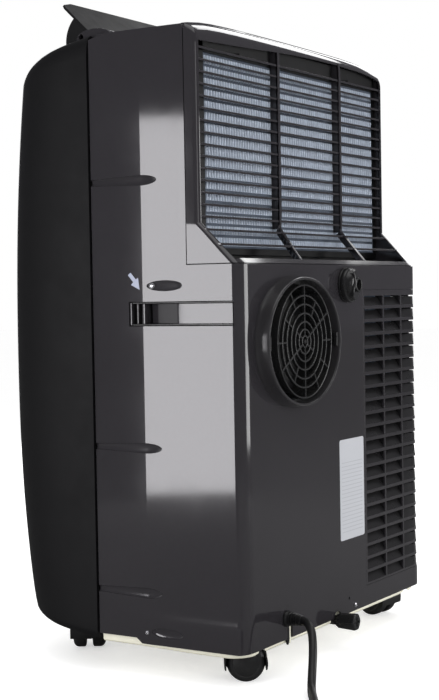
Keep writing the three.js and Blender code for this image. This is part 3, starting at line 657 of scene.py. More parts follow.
def shell_ring(z, ia, ib, n=96, y_rear=None):
    a, b = SHELL_HALF - ia, SHELL_DEPTH - bow(z) - ib
    tl = lerp(0.12, -0.17, z / 690)
    out = []
    for i in range(n + 1):
        t = math.pi * i / n
        # more points near the seam, where the curve turns fastest
        t = t - 0.35 * math.sin(2 * t) / 2
        c, s = math.cos(t), max(0.0, math.sin(t))
        x = a * math.copysign(abs(c) ** (2 / POWER), c)
        y = -8 - b * s ** (2 / POWER)
        out.append((x, y, z + tl * (-8 - y)))
    return out


def make_front_shell():
    levels = [(0, 3, 12), (1.6, 1.9, 8.2), (3.6, 1.0, 5.2), (5.8, 0.4, 3.2), (8, 0, 2), (16, 0, 0.9), (28, 0, 0.2), (44, 0, 0)]
    levels += [(z, 0, 0) for z in range(70, 660, 26)]
    levels += [(666, 0, 0), (671, 0.3, 1.4), (675, 0.8, 3.4), (678.6, 1.4, 6.2), (681.8, 2.2, 10), (684.6, 3.4, 15), (687, 4.9, 20.6), (688.8, 6.8, 27), (690, 9, 34)]
    rings = [shell_ring(*lv) for lv in levels]
    n = len(rings[0])
    v = [p for r in rings for p in r]
    f = []
    for k in range(len(rings) - 1):
        for i in range(n - 1):
            f.append((k * n + i, k * n + i + 1, (k + 1) * n + i + 1, (k + 1) * n + i))
    f.append(tuple(range((len(rings) - 1) * n, len(rings) * n)))
    o = raw("shell_front", v, f)
    # outward normals, then a real wall
    bm = bmesh.new()
    bm.from_mesh(o.data)
    big = max(bm.faces, key=lambda q: q.calc_area())
    if big.normal.z < 0:
        bmesh.ops.reverse_faces(bm, faces=bm.faces)
    bm.to_mesh(o.data)
    bm.free()
    s = o.modifiers.new("wall", "SOLIDIFY")
    s.thickness = 0.003
    s.offset = -1
    s.use_even_offset = True
    bake(o)
    tool = Mesh().box(-203, 203, -94, 4, 640, 740).object("tool")
    boolean(o, tool)
    tool = Mesh().box(-223, 223, -32.6, 4, 676, 740).object("tool")
    boolean(o, tool)
    tool = Mesh().box(-96, 96, -158, -112, 640, 740).object("tool")
    boolean(o, tool)
    soften(o, 0.9, 2, 40)
    dress(o, "matte_black", replaces="front_shell")


make_front_shell()


# ------------------------------------------------------------------ rear casing
def yr(z):
    return 188.0 if z <= 426 else (137.0 if z >= 472 else lerp(188, 137, (z - 426) / 46))


def corner(z, side=1):
    """Semi-axes (along X, along Y) of the rear corner at height z, and how far it stands out beyond the flat side and back."""
    k = smooth(426, 472, z)
    if side < 0:
        return lerp(21.5, 6.0, k), lerp(10.0, 6.0, k), lerp(0.0, 3.2, k), lerp(0.0, 1.3, k)
    return lerp(21.5, 6.5, k), lerp(10.0, 6.0, k), 0.0, 0.0


def casing_ring(z, ins=0.0, yf=-6.6, seg=12):
    """Half outline on +X from the seam round the corner, then mirrored."""
    w = 233.0 - ins
    y = yr(z) - ins
    k = smooth(26, 40, z)
    a, b, _, _ = corner(z)
    half = [(w, yf), (w, 20.0), (w, 45.0), (w, 62.2)]
    half += [(w - 0.5 * k, 90.0)]
    for i in range(seg + 1):
        t = math.pi / 2 * i / seg
        half.append((w - 1.5 * k - a + a * math.cos(t), y - b + b * math.sin(t)))
    return [(p, q, z) for p, q in half] + [(-p, q, z) for p, q in reversed(half)]


def casing_surface(name, zs, wall=2.6):
    rings = [casing_ring(z) for z in zs]
    n = len(rings[0])
    v = [p for r in rings for p in r]
    f = []
    for k in range(len(rings) - 1):
        for i in range(n - 1):
            f.append((k * n + i, (k + 1) * n + i, (k + 1) * n + i + 1, k * n + i + 1))
    o = raw(name, v, f)
    bm = bmesh.new()
    bm.from_mesh(o.data)
    side = max(bm.faces, key=lambda q: q.calc_center_median().x + q.normal.length * 0)
    if side.normal.x < 0:
        bmesh.ops.reverse_faces(bm, faces=bm.faces)
    bm.to_mesh(o.data)
    bm.free()
    s = o.modifiers.new("wall", "SOLIDIFY")
    s.thickness = wall / 1000
    s.offset = -1
    s.use_even_offset = True
    bake(o)
    return o


def canoe(s, y0, y1, zc, h0, h1, depth, tip=22, n=18, m=12):
    """Trough-shaped tool that sinks into the side: half height h0 at y0 growing to h1, then a rounded tip at y1."""
    rings = []
    ym = y1 - tip
    ys = [lerp(y0, ym, i / 3) for i in range(4)] + [ym + tip * math.sin(math.pi / 2 * i / n) for i in range(1, n)]
    for y in ys:
        if y <= ym:
            h, d = lerp(h0, h1, (y - y0) / (ym - y0)), depth
        else:
            c = math.sqrt(max(0.0, 1 - ((y - ym) / tip) ** 2))
            h, d = h1 * c, depth * c ** 0.6
        ring = []
        for i in range(m + 1):
            t = math.pi * i / m
            c, q = math.cos(t), math.sin(t)
            ring.append((s * (233.0 - d * q ** 0.55), y, zc + h * c))
        ring += [(s * 240, y, zc - h), (s * 240, y, zc + h)]
        rings.append(ring)
    rings.append([(s * lerp(233, x / s, 0.04) if abs(x) < 233.01 else x, y1, zc + (z - zc) * 0.04) for x, y, z in rings[-1]])
    return rings


def oval_pocket(s, y0, y1, zc, h, depth, n=16, m=12):
    """Shallow oval hollow, steeper at its front end."""
    rings = []
    yc, ry = (y0 + y1) / 2, (y1 - y0) / 2
    for i in range(n + 1):
        u = -math.cos(math.pi * i / n) * 0.999
        c = math.sqrt(1 - u * u)
        y = yc + ry * u
        d = depth * min(1.0, c * 1.7) * lerp(1.0, 0.55, (u + 1) / 2)
        ring = [(s * (233.0 - d * math.sin(math.pi * j / m) ** 0.5), y, zc + h * max(c, 0.05) * math.cos(math.pi * j / m)) for j in range(m + 1)]
        hh = h * max(c, 0.05)
        ring += [(s * 240, y, zc - hh), (s * 240, y, zc + hh)]
        rings.append(ring)
    return rings


def crease(o):
    """The side turns by under a degree along one line; the line stays crisp."""
    me = o.data
    at = (62.2 + DY) / 1000
    for e in me.edges:
        p, q = (me.vertices[i].co for i in e.vertices)
        if abs(p.y - at) < 2e-4 and abs(q.y - at) < 2e-4 and abs(p.x) > 0.2318 and abs(q.x) > 0.2318:
            e.use_edge_sharp = True


def make_casing():
    zs = [0, 3, 10, 18, 26, 29, 32, 35, 38, 41, 48, 70, 110, 160, 210, 260, 310, 360, 400, 426, 472, 520, 570, 620, 660, 690]
    o = casing_surface("casing_rear", zs)
    t = Mesh()
    t.box(-260, 260, 120.2, 230, 426.2, 720)  # the intake grille is its own piece
    boolean(o, t.object("tool"))
    t = Mesh().box(-260, -66.3, 171.6, 230, 25.0, 396.0)  # and so is the condenser louvre
    boolean(o, t.object("tool"))
    t = Mesh()
    for s in (1, -1):
        for zc, y1 in ((522, 83), (222, 84), (58, 82)):
            t.loft(canoe(s, -10, y1, zc, 3.4, 5.9, 2.3))
        t.loft(oval_pocket(s, 67.5, 116, 404, 6.2, 2.3))
        t.loft(oval_pocket(s, 66, 109, 14.5, 5.8, 2.2))
    boolean(o, t.object("tool"))
    t = Mesh()
    for s in (1, -1):
        x0, x1 = (216, 250) if s > 0 else (-250, -216)
        t.box(x0, x1, 43, 179.6, 359, 386.5)
    # stepped lower edge, notch where the cord comes out, drain and duct openings
    t.prism([(-30, -6), (-30, 6), (45, 6), (52.5, 0.001), (52.5, -6)], alongX, -260, 260)
    boolean(o, t.object("tool"))
    t = Mesh().box(126.4, 139.2, 176, 200, -6, 16)
    t.disc("y", (-20, 170, 402), [(12.8, 0), (12.8, 30)], 32)
    t.disc("y", (114, 170, 338), [(1, 0), (1, 30)], 56, 88.2, 75.2)
    t.disc("y", (13, 170, -3), [(11.2, 0), (11.2, 30)], 32)
    t.disc("y", (-18, 170, 18), [(1.9, 0), (1.9, 30)], 16)
    boolean(o, t.object("tool"))
    # front upper corner comes down a little
    t = Mesh().prism([(-10, 683.5), (-5.0, 684.6), (2, 686.6), (12, 689.2), (22, 690.6), (22, 700), (-10, 700)], alongX, -260, 260)
    boolean(o, t.object("tool"))
    soften(o, 1.1, 3, 30)
    crease(o)
    dress(o, "gloss_grey", replaces="rear_casing")

    # inner flange that closes the seam behind the front shell, set back in the dark
    t = Mesh()
    for s in (1, -1):
        a, b = sorted((s * 226.4, s * 229.2))
        t.box(a, b, -18, 14, 17, 682).box(a, b, -18, -6.4, 4, 17.2)
    o = soften(t.object("casing_seam_flange"), 0.5, 2)
    dress(o, "duct_black")


make_casing()


# ------------------------------------------------------------------ top cover
def crown(x):
    """The cover's rear edge stands higher than its ends."""
    u = min(1.0, abs(x) / 233.0)
    return 6.6 * (1 - u ** 7) + 1.6 * (1 - u * u)


def make_top():
    t = Mesh()
    rings = []
    xs = [-229, -225, -214, -200, -181, -179, -150, -110, -60, 0, 60, 110, 150, 179, 181, 200, 214, 225, 229]
    for x in xs:
        e = 8.0 * max(0.0, (abs(x) - 221) / 8)
        ring = []
        for y in (-4 + e * 0.8, 10, 21.4, 22.4, 50, 80, 97.6, 98.6, 108, 118.6 - e * 1.2):
            z = 692.0 + (crown(x) - 1.7) * smooth(20, 104, y) - (1.2 if 22 < y < 98 and abs(x) < 180 else 0)
            ring.append((x, y, z - 1.6 * max(0.0, (abs(x) - 221) / 8)))
        ring += [(x, y, z - 4.4) for _, y, z in reversed(ring)]
        rings.append(ring)
    o = t.loft(rings).object("top_deck")
    soften(o, 0.8, 2, 34)
    dress(o, "gloss_grey", replaces="top_cover")
    t = Mesh().box(-219, 219, 0.5, 3.4, 672, 687.4).box(-219, 219, 108, 111, 672, 687.4)
    o = soften(t.object("top_deck_skirt"), 0.5, 1)
    dress(o, "gloss_grey")
    for s, side in ((1, "right"), (-1, "left")):
        prof = [(-31, 684), (-16, 684), (-4, 687.3), (16, 689), (17, 692), (12, 696), (3, 698.6), (-8, 699.4), (-20, 698), (-28, 694.6), (-31, 690)]
        t = Mesh().prism(prof, alongX, s * 206.6, s * 221.8)
        o = t.object("hinge_boss_" + side)
        tool = Mesh().disc("x", (s * 204 if s > 0 else -224, -25, 691), [(3.4, 0), (3.4, 20)], 24).object("tool")
        boolean(o, tool)
        soften(o, 1.8, 3, 25)
        dress(o, "gloss_grey")


make_top()


# ------------------------------------------------------------------ intake grille
WINDOWS = [(51.2, 225.5), (-107.6, 46.4), (-228.4, -112.4)]


def slant(t, off=0.0):
    """Point (y, z) on the shelf, t from its top edge to its bottom edge, off mm outwards."""
    n = Vector((46, 51)).normalized()  # (y, z)
    return lerp(137, 188, t) + n[0] * off, lerp(472, 426, t) + n[1] * off


def make_intake():
    zs = [427.4, 432, 440, 448, 455, 463, 468, 472, 500, 560, 620, 655, 668, 672, 675.5, 678.6, 681.4, 683.9, 686, 687.7, 689, 689.8, 690.2]

    def ring(z):
        # rolled top rear edge, crowned
        t = max(0.0, min(1.0, (z - 668) / 22.2))
        drop = 1 - math.sqrt(max(0.0, 1 - t * t))
        base = yr(z) - 22.0 * drop
        half = []
        for side in (1, -1):
            a, b, proud, back = corner(z, side)
            w = 231.5 + proud - 1.2 * drop
            pts = [(232.4 + (proud * 0.5 if side < 0 else 0), 121.6)]
            for i in range(13):
                u = math.pi / 2 * i / 12
                pts.append((w - a + a * math.cos(u), max(121.7 + i * 0.02, base + back - b + b * math.sin(u))))
            half.append(pts)
        flat = [(x, lerp(half[0][-1][1], half[1][-1][1], (215 - x) / 430)) for x in (200, 175, 140, 100, 50, 0, -50, -100, -140, -175, -200)]
        out = half[0] + flat + [(-p, q) for p, q in reversed(half[1])]
        lift = smooth(640, 676, z)
        return [(p, q, z + crown(p) * lift) for p, q in out]

    rings = [ring(z) for z in zs]
    n = len(rings[0])
    v = [p for r in rings for p in r]
    f = [(k * n + i, (k + 1) * n + i, (k + 1) * n + i + 1, k * n + i + 1) for k in range(len(rings) - 1) for i in range(n - 1)]
    o = raw("intake_frame", v, f)
    bm = bmesh.new()
    bm.from_mesh(o.data)
    side = max(bm.faces, key=lambda q: q.calc_center_median().x)
    if side.normal.x < 0:
        bmesh.ops.reverse_faces(bm, faces=bm.faces)
    bm.to_mesh(o.data)
    bm.free()
    s = o.modifiers.new("wall", "SOLIDIFY")
    s.thickness = 0.0026
    s.offset = -1
    s.use_even_offset = True
    bake(o)
    # window openings run over the shelf's upper edge; on the shelf they lean
    edge = [(228, 671.0), (215, 671.6), (160, 674.0), (100, 676.6), (50, 679.6), (0, 682.0), (-60, 683.2), (-110, 683.4), (-170, 682.0), (-205, 679.5), (-232, 675.0)]

    def top_of(x):
        for (x0, z0), (x1, z1) in zip(edge, edge[1:]):
            if x <= x0 and x >= x1:
                return lerp(z0, z1, (x0 - x) / (x0 - x1))
        return 671.0

    for (a, b), (c, e) in zip(WINDOWS, ((81.5, 225.5), (-85.5, 76.0), (-214.0, -91.0))):
        pts = [(lerp(b, a, i / 8), top_of(lerp(b, a, i / 8))) for i in range(9)]
        t = Mesh().prism([(a, 474.5), (b, 474.5)] + pts, alongY, 110, 150)
        boolean(o, t.object("tool"))
        y0, z0 = slant(-0.12, 12)
        y1, z1 = slant(0.86, 12)
        y2, z2 = slant(0.86, -14)
        y3, z3 = slant(-0.12, -14)
        t = Mesh().loft([[(a, y0, z0), (b, y0, z0), (b, y3, z3), (a, y3, z3)], [(c, y1, z1), (e, y1, z1), (e, y2, z2), (c, y2, z2)]])
        boolean(o, t.object("tool"))
    soften(o, 0.6, 2, 30)
    dress(o, "gloss_grey", "grille", replaces="intake_grille")

    t = Mesh()
    for i in range(15):
        z = 479.4 + 13.2 * i
        # blade: thin lip in front, leaning up and in behind it
        t.loft([[(x, y, z - 1.5), (x, y, z + 1.2), (x, 124.6, z + 3.2), (x, 124.6, z + 1.4)] for x, y in ((226.6, 136.3), (0, 136.5), (-229.6, 136.9))])
    for k, u in enumerate((0.16, 0.52)):
        y, z = slant(u, -0.2)
        y2, z2 = y - 10.5, z + 1.0
        x1 = lerp(228.6, 228.6, u)
        x0 = lerp(-229.0, -218.0, u)
        t.loft([
            [(x1, y, z - 1.3), (x1, y, z + 1.4), (x1, y2, z2 + 1.2), (x1, y2, z2 - 1.0)],
            [(x0, y, z - 1.3), (x0, y, z + 1.4), (x0, y2, z2 + 1.2), (x0, y2, z2 - 1.0)],
        ])
    o = soften(t.object("intake_slats"), 0.45, 2)
    dress(o, "gloss_grey", "grille")
    # narrow uprights, running diagonally down the shelf to their feet
    t = Mesh()
    for x, foot in ((48.8, 78.6), (-110.0, -88.6)):
        t.box(x - 2.4, x + 2.4, 126.8, 137.1, 470, top_of(x) + 2)
        y0, z0 = slant(-0.02, 0.2)
        y1, z1 = slant(0.87, 0.2)
        y2, z2 = slant(0.87, -8.5)
        y3, z3 = slant(-0.02, -8.5)
        t.loft([[(x - 1.3, y0, z0), (x + 1.3, y0, z0), (x + 1.3, y3, z3), (x - 1.3, y3, z3)],
                [(foot - 1.3, y1, z1), (foot + 1.3, y1, z1), (foot + 1.3, y2, z2), (foot - 1.3, y2, z2)]])
    o = soften(t.object("intake_uprights"), 0.4, 2)
    dress(o, "gloss_grey", "grille")
    # small catches under the top border
    t = Mesh().box(122, 134, 125, 134.4, 665.4, 668.4).box(-152, -140, 125, 134.4, 665.4, 668.4)
    o = soften(t.object("intake_catches"), 0.4, 2)
    dress(o, "filter_black", "grille")


make_intake()


# ------------------------------------------------------------------ air filter and evaporator behind it
def make_filter():
    t = Mesh()
    for a, b in ((201.4, 227), (-231, -226.5)):
        t.box(a, b, 119.0, 127.8, 438, 680)
    t.box(-230, 227, 119.0, 127.8, 662.5, 684)
    t.box(-230, 227, 119.0, 127.8, 438, 446)
    t.box(-230, 227, 119.4, 122.4, 424, 438.4)
    o = soften(t.object("filter_frame"), 0.8, 2)
    dress(o, "filter_black", "grille", replaces="air_filter")
    # woven screen, gathered between upright ribs
    t = Mesh()
    n = 304
    rings = []
    xs = [201.4 - (201.4 + 226.5) * i / n for i in range(n + 1)]
    for i, x in enumerate(xs):
        y = 124.4 + 0.8 * math.cos(i * math.pi / 2)
        rings.append([(x, y, 446), (x, y, 662.5), (x, y - 1.4, 662.5), (x, y - 1.4, 446)])
    o = soften(t.loft(rings).object("filter_screen"), 0)
    dress(o, "screen", "grille")
    t = Mesh()
    pitch = 5.7
    for i in range(1, int(427.9 / pitch)):
        x = 201.4 - i * pitch
        for k in range(17):
            # short strokes, a little out of line from row to row
            z0 = 448.2 + 12.6 * k
            d = (0.9 if k % 2 else -0.9) + 0.5 * math.sin(i * 1.7 + k)
            t.loft([[(x - 1.0 + d * 0.3, 125.0, z0), (x + 1.0 + d * 0.3, 125.0, z0), (x + 0.6 + d * 0.3, 127.2, z0), (x - 0.6 + d * 0.3, 127.2, z0)],
                    [(x - 1.0 - d * 0.6, 125.0, z0 + 9.4), (x + 1.0 - d * 0.6, 125.0, z0 + 9.4), (x + 0.6 - d * 0.6, 127.2, z0 + 9.4), (x - 0.6 - d * 0.6, 127.2, z0 + 9.4)]])
    o = t.object("filter_ribs")
    soften(o, 0, weighted=False)
    dress(o, "screen_rib", "grille")


make_filter()


# ------------------------------------------------------------------ condenser louvre
def louvre_path(ins, far=None):
    """Outline of the far rear corner, from the edge at x -66.8 round to the side; far is the inset round the corner."""
    far = ins if far is None else far
    pts = [(-66.6, 188 - ins), (-125.7, 188 - ins), (-178.6, 188 - ins)]
    a, b = 21.5 - far, max(2.0, 10.0 - far)
    cx, cy = -(231.5 - 21.5), 188 - 10.0
    for i in range(11):
        t = math.pi / 2 * (1 - i / 10)
        pts.append((cx - a * math.cos(t), cy + b * math.sin(t)))
    pts.append((-(231.5 - far), 172.3))
    return pts


def make_louvre():
    outer, inner = louvre_path(0.0), louvre_path(2.8)
    ring = outer + list(reversed(inner))
    o = Mesh().prism(ring, alongZ, 25.3, 395.7).object("louvre_frame")
    t = Mesh()
    rows = [34.6 + 16.55 * i for i in range(22)]
    for z in rows:
        for a, b in ((-123.9, -70.6), (-176.8, -127.5)):
            t.box(a, b, 180, 196, z - 6.1, z + 6.1)
        t.box(-246, -180.4, 175.2, 196, z - 6.1, z + 6.1)
    boolean(o, t.object("tool"))
    soften(o, 0.35, 2)
    dress(o, "gloss_grey", replaces="condenser_grille")
    # blades: each leans in towards its top, and follows the corner
    t = Mesh()
    front, back = louvre_path(1.0, 0.5), louvre_path(8.8, 1.2)
    front2, back2 = louvre_path(2.6, 2.2), louvre_path(10.0, 2.6)
    for z in rows:
        v, f = [], []
        m_ = len(front)
        for j in range(m_):
            v += [(front[j][0], front[j][1], z - 6.4), (back[j][0], back[j][1], z + 4.6), (back2[j][0], back2[j][1], z + 3.6), (front2[j][0], front2[j][1], z - 7.3)]
        for j in range(m_ - 1):
            for q in range(4):
                a = j * 4 + q
                b = j * 4 + (q + 1) % 4
                f.append((a, b, b + 4, a + 4))
        f.append((0, 3, 2, 1))
        e = (m_ - 1) * 4
        f.append((e, e + 1, e + 2, e + 3))
        t.add(v, f)
    for x in (-125.7, -178.6):
        t.box(x - 1.6, x + 1.6, 177, 186, 26.5, 394.5)
    for z0, z1 in ((21.5, 28.0), (393.0, 399.5)):
        t.prism(louvre_path(3.0) + list(reversed(louvre_path(5.0))), alongZ, z0, z1)
    o = soften(t.object("louvre_blades"), 0.25, 1)
    dress(o, "blade_black")
    # condenser behind it, in the darkened fin colour that paints its shade
    t = Mesh().box(-205, -71, 131, 156, 30.6, 391)
    o = soften(t.object("condenser_core"), 0.6, 1)
    dress(o, "fin_back", replaces="condenser_coil")
    t = Mesh()
    for i in range(34):
        x = -204 + i * 3.95
        t.box(x, x + 1.1, 156, 161.4, 31, 390.5)
    o = soften(t.object("condenser_fins"), 0, weighted=False)
    dress(o, "fin_back")


make_louvre()


# ------------------------------------------------------------------ exhaust
EX, EZ = 114.0, 338.0


def make_exhaust():
    # oval collar: flared root, thin wall, rolled lip
    t = Mesh()
    a, b = 87.0, 74.0
    prof = [(-4.0, 186.2), (1.5, 186.2), (1.6, 188.6), (0.9, 190.6), (0.35, 193.5), (0.05, 198), (0.0, 203.2), (-0.4, 204.8), (-1.5, 205.8), (-2.6, 205.8), (-3.6, 204.9), (-4.0, 203.4)]
    rings = []
    seg = 72
    for off, y in prof:
        rings.append([(EX + (a + off) * math.cos(2 * math.pi * i / seg), y, EZ + (b + off) * math.sin(2 * math.pi * i / seg)) for i in range(seg)])
    t.loft(rings, closed=True)
    o = t.object("collar_wall")
    soften(o, 0)
    dress(o, "collar_grey", replaces="exhaust_collar")
    # floor of the slot, between sleeve and collar
    rings = []
    for k, (ra, rb, y) in enumerate(((66.2, 66.2, 186.6), (83.6, 70.6, 186.6), (83.6, 70.6, 189.2), (66.2, 66.2, 189.2))):
        rings.append([(EX + ra * math.cos(2 * math.pi * i / seg), y, EZ + rb * math.sin(2 * math.pi * i / seg)) for i in range(seg)])
    t = Mesh().loft(rings, closed=True)
    for s in (1, -1):
        x0, x1 = sorted((EX + s * 77.6, EX + s * 84.2))
        t.box(x0, x1, 199.2, 203.6, EZ - 8, EZ + 8)
        t.box(x0 + 1.4, x1 - 1.4, 189, 199.4, EZ - 5, EZ + 5)
    o = soften(t.object("collar_slot_floor"), 0.4, 2)
    dress(o, "duct_black")
    # sleeve and guard: seven rings and a web of spokes
    t = Mesh()
    t.ring("y", (EX, 0, EZ), 65.2, 63.1, 181.0, 204.0, 72, fillet=0.9)
    for r in (6.4, 14.0, 22.6, 32.2, 42.4, 52.4):
        t.ring("y", (EX, 0, EZ), r + 1.05, r - 1.05, 199.8, 203.6, 56, fillet=0.5)

    def spoke(deg, r0, r1, w=1.0, y0=200.2, y1=203.3):
        c, s_ = math.cos(rad(deg)), math.sin(rad(deg))
        px, pz = -s_ * w, c * w
        A = [(EX + c * r0 + px, y0, EZ + s_ * r0 + pz), (EX + c * r0 - px, y0, EZ + s_ * r0 - pz), (EX + c * r0 - px, y1, EZ + s_ * r0 - pz), (EX + c * r0 + px, y1, EZ + s_ * r0 + pz)]
        B = [(EX + c * r1 + px, y0, EZ + s_ * r1 + pz), (EX + c * r1 - px, y0, EZ + s_ * r1 - pz), (EX + c * r1 - px, y1, EZ + s_ * r1 - pz), (EX + c * r1 + px, y1, EZ + s_ * r1 + pz)]
        t.loft([A, B])

    # the rear is looked at with +X on the left
    spoke(90, 6, 63.6)
    spoke(-90, 6, 63.6)
    spoke(180 - 30, 6, 63.6, 1.15)
    spoke(-30, 6, 63.6, 1.15)
    spoke(180 - 60, 32, 53, 1.15)
    spoke(-60, 32, 53, 1.15)
    spoke(0, 42, 63.6)
    spoke(180, 42, 63.6)
    spoke(30, 6, 22.6)
    spoke(30, 32, 53)
    spoke(210, 6, 22.6)
    spoke(210, 42, 63.6)
    spoke(60, 42, 63.6)
    spoke(240, 42, 63.6)
    t.disc("y", (EX, 0, EZ), [(0.01, 200.0), (2.6, 200.0), (2.6, 203.4), (2.0, 204.0), (0.01, 204.0)], 24)
    o = soften(t.object("exhaust_guard_web"), 0.0)
    dress(o, "duct_black", replaces="exhaust_guard")
    # dark duct behind the guard
    t = Mesh()
    t.disc("y", (EX, 0, EZ), [(0.01, 166), (60.0, 166), (62.6, 168), (62.6, 180.6), (61.4, 180.6), (61.4, 170), (0.01, 168)], 56)
    o = soften(t.object("exhaust_duct_end"), 0)
    dress(o, "filter_black")


make_exhaust()


# ------------------------------------------------------------------ drains
def make_drains():
    t = Mesh()
    c = (-20, 0, 402)
    t.lathe("y", c, [(9.7, 169), (12.1, 169), (12.1, 186.6), (21.0, 188.3), (21.4, 189.2), (21.0, 190.6), (9.7, 190.6)], 48, closed=True)
    o = soften(t.object("drain_port_upper"), 0.3, 2, 40)
    dress(o, "duct_black", replaces="upper_drain_port")
    # cap: domed knob with a curved grip ridge and a sunk round eye on one side
    prof = [(0.01, 176), (8.9, 176), (8.9, 191.2), (20.6, 191.2), (21.2, 192.4), (21.3, 194.8), (20.6, 196.4), (19.3, 197.2), (18.6, 198.6), (17.9, 201.6), (16.4, 203.4), (13.6, 204.7), (9, 205.2), (0.01, 205.4)]
    o = Mesh().disc("y", c, prof, 56).object("drain_cap_upper")
    tool = Mesh()
    # slope down from the ridge on that side
    tool.loft([
        [(-11, 208, 380), (-11, 208, 424), (-11, 203.0, 424), (-11, 203.0, 380)],
        [(-44, 208, 380), (-44, 208, 424), (-44, 198.0, 424), (-44, 198.0, 380)],
    ])
    boolean(o, tool.object("tool"))
    tool = Mesh().disc("y", (-21.5, 0, 402), [(6.4, 193.6), (7.0, 212)], 40).object("tool")
    boolean(o, tool)
    soften(o, 0.5, 2, 30)
    dress(o, "duct_black", "upper_cap", replaces="upper_drain_cap")
    # grip ridge, an S in plan
    t = Mesh()
    rings = []
    for i in range(17):
        u = i / 16
        z = lerp(-14.0, 14.0, u)
        x = -9.4 + 2.4 * math.sin(2 * math.pi * u) + (1 - (2 * u - 1) ** 2) * 0.2
        h = 3.2 * math.sqrt(max(0.04, 1 - (2 * u - 1) ** 2))
        y0 = 200.5
        rings.append([(x - 2.4, y0, 402 + z), (x + 2.4, y0, 402 + z), (x + 1.5, 203.4 + h, 402 + z), (x, 204.0 + h, 402 + z), (x - 1.5, 203.4 + h, 402 + z)])
    t.loft(rings)
    o = soften(t.object("drain_cap_ridge"), 0.0)
    dress(o, "duct_black", "upper_cap")
    t = Mesh().ring("y", (-21.5, 0, 402), 8.8, 6.2, 195.0, 206.0, 44, fillet=0.8)
    o = soften(t.object("drain_cap_eye"), 0)
    dress(o, "duct_black", "upper_cap")

    # lower drain: tapered six-sided plug with a cross recess
    def hexring(y, r, rot=0.0, n=6, k=4):
        out = []
        for i in range(n):
            for j in range(k):
                a0, a1 = rad(60 * i + rot), rad(60 * (i + 1) + rot)
                p0, p1 = (math.cos(a0), math.sin(a0)), (math.cos(a1), math.sin(a1))
                u = j / k
                x, z = lerp(p0[0], p1[0], u), lerp(p0[1], p1[1], u)
                rr = math.hypot(x, z)
                q = lerp(1.0, 1 / rr, 0.45)
                out.append((13 + r * x * q, y, -3 + r * z * q))
        return out

    o = Mesh().loft([hexring(189.4, 8.9), hexring(191, 9.6), hexring(203, 10.2), hexring(211.6, 10.7), hexring(213.0, 10.3), hexring(213.6, 9.2)]).object("drain_plug_lower")
    tool = Mesh().box(7.2, 18.8, 211.4, 218, -4.3, -1.7)
    boolean(o, tool.object("tool"))
    tool = Mesh().box(11.7, 14.3, 211.4, 218, -8.8, 2.8)
    boolean(o, tool.object("tool"))
    soften(o, 0.4, 2, 28)
    dress(o, "duct_black", "lower_cap", replaces="lower_drain_cap")
    t = Mesh().disc("y", (13, 0, -3), [(0.01, 170), (5.8, 170), (5.8, 189.8), (0.01, 189.8)], 28)
    t.ring("y", (13, 0, -3), 7.4, 5.7, 187.2, 188.6, 32)
    o = soften(t.object("drain_plug_stem"), 0.2, 1)
    dress(o, "duct_black", "lower_cap")


make_drains()


